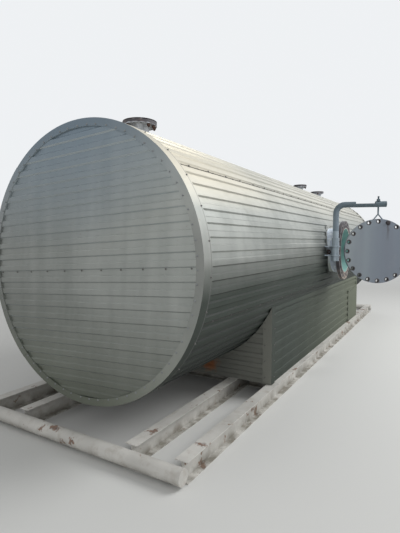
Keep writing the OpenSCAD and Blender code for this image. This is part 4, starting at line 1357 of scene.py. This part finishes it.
def lamp(name, energy, size, place):
    """A large square lamp that points at the middle of the vessel."""
    data = bpy.data.lights.new(name, "AREA")
    data.energy = energy
    data.size = size
    obj = bpy.data.objects.new(name, data)
    obj.location = place
    obj.rotation_euler = (Vector((0, 0, AXIS_Z)) - Vector(place)).to_track_quat("-Z", "Y").to_euler()
    bpy.context.scene.collection.objects.link(obj)


class VESSEL_OT_stage(bpy.types.Operator):
    """Sets the camera, the lamps, the backdrop and the floor"""

    bl_idname = "vessel.stage"
    bl_label = "Stage"

    def execute(self, context):
        stage = context.scene.vessel_stage
        context.scene.view_settings.view_transform = "Standard"
        data = bpy.data.cameras.new("photo_camera")
        data.lens = stage.focal_length
        data.sensor_width = 36.0
        data.clip_end = 200.0
        camera = bpy.data.objects.new("photo_camera", data)
        camera.location = stage.camera_at
        camera.rotation_euler = stage.camera_turn
        context.scene.collection.objects.link(camera)
        context.scene.camera = camera
        stage_world(stage)
        sides = 64
        disc = bpy.data.meshes.new("stage_floor")
        points = [(stage.floor_r * math.cos(math.tau * i / sides),
                   stage.floor_r * math.sin(math.tau * i / sides), 0.0) for i in range(sides)]
        disc.from_pydata(points, [], [tuple(range(sides))])
        disc.materials.append(floor_material(stage))
        floor = bpy.data.objects.new("stage_floor", disc)
        context.scene.collection.objects.link(floor)
        lamp("key_lamp", stage.key, 5.0, (6.5, 1.5, 7.0))
        lamp("fill_lamp", stage.fill, 6.0, (3.5, -10.5, 4.5))
        lamp("back_lamp", stage.back, 6.0, (-1.6, 13.5, 6.6))
        return {"FINISHED"}


STEPS = (VESSEL_OT_stage, VESSEL_OT_finishes, VESSEL_OT_closures, VESSEL_OT_sheet_screws,
         VESSEL_OT_nozzle_studs, VESSEL_OT_cover_fittings, VESSEL_OT_davit_fittings,
         VESSEL_OT_shell_welds, VESSEL_OT_skid_welds)


class VESSEL_PT_panel(bpy.types.Panel):
    """Lists the vessel's pieces in the sidebar"""

    bl_idname = "VESSEL_PT_panel"
    bl_label = "Pressure Vessel"
    bl_space_type = "VIEW_3D"
    bl_region_type = "UI"
    bl_category = "Vessel"

    def draw(self, context):
        for step in STEPS:
            self.layout.operator(step.bl_idname)


GROUPS = {"vessel_sizes": VesselSizes, "vessel_colours": VesselColours, "vessel_stage": VesselStage}


def register():
    """Registers the classes, and hangs the groups on the scene."""
    for made in (*GROUPS.values(), *STEPS, VESSEL_PT_panel):
        bpy.utils.register_class(made)
    for name, group in GROUPS.items():
        setattr(bpy.types.Scene, name, PointerProperty(type=group))


def unregister():
    """Takes away what register added."""
    for name in GROUPS:
        delattr(bpy.types.Scene, name)
    for made in (VESSEL_PT_panel, *reversed(STEPS), *GROUPS.values()):
        bpy.utils.unregister_class(made)


def main():
    """Makes every group in order."""
    register()
    bpy.ops.vessel.stage()
    bpy.ops.vessel.finishes()
    bpy.ops.vessel.closures()
    bpy.ops.vessel.sheet_screws()
    bpy.ops.vessel.nozzle_studs()
    bpy.ops.vessel.cover_fittings()
    bpy.ops.vessel.davit_fittings()
    bpy.ops.vessel.shell_welds()
    bpy.ops.vessel.skid_welds()
    bpy.context.view_layer.update()


if __name__ == "__main__":
    main()
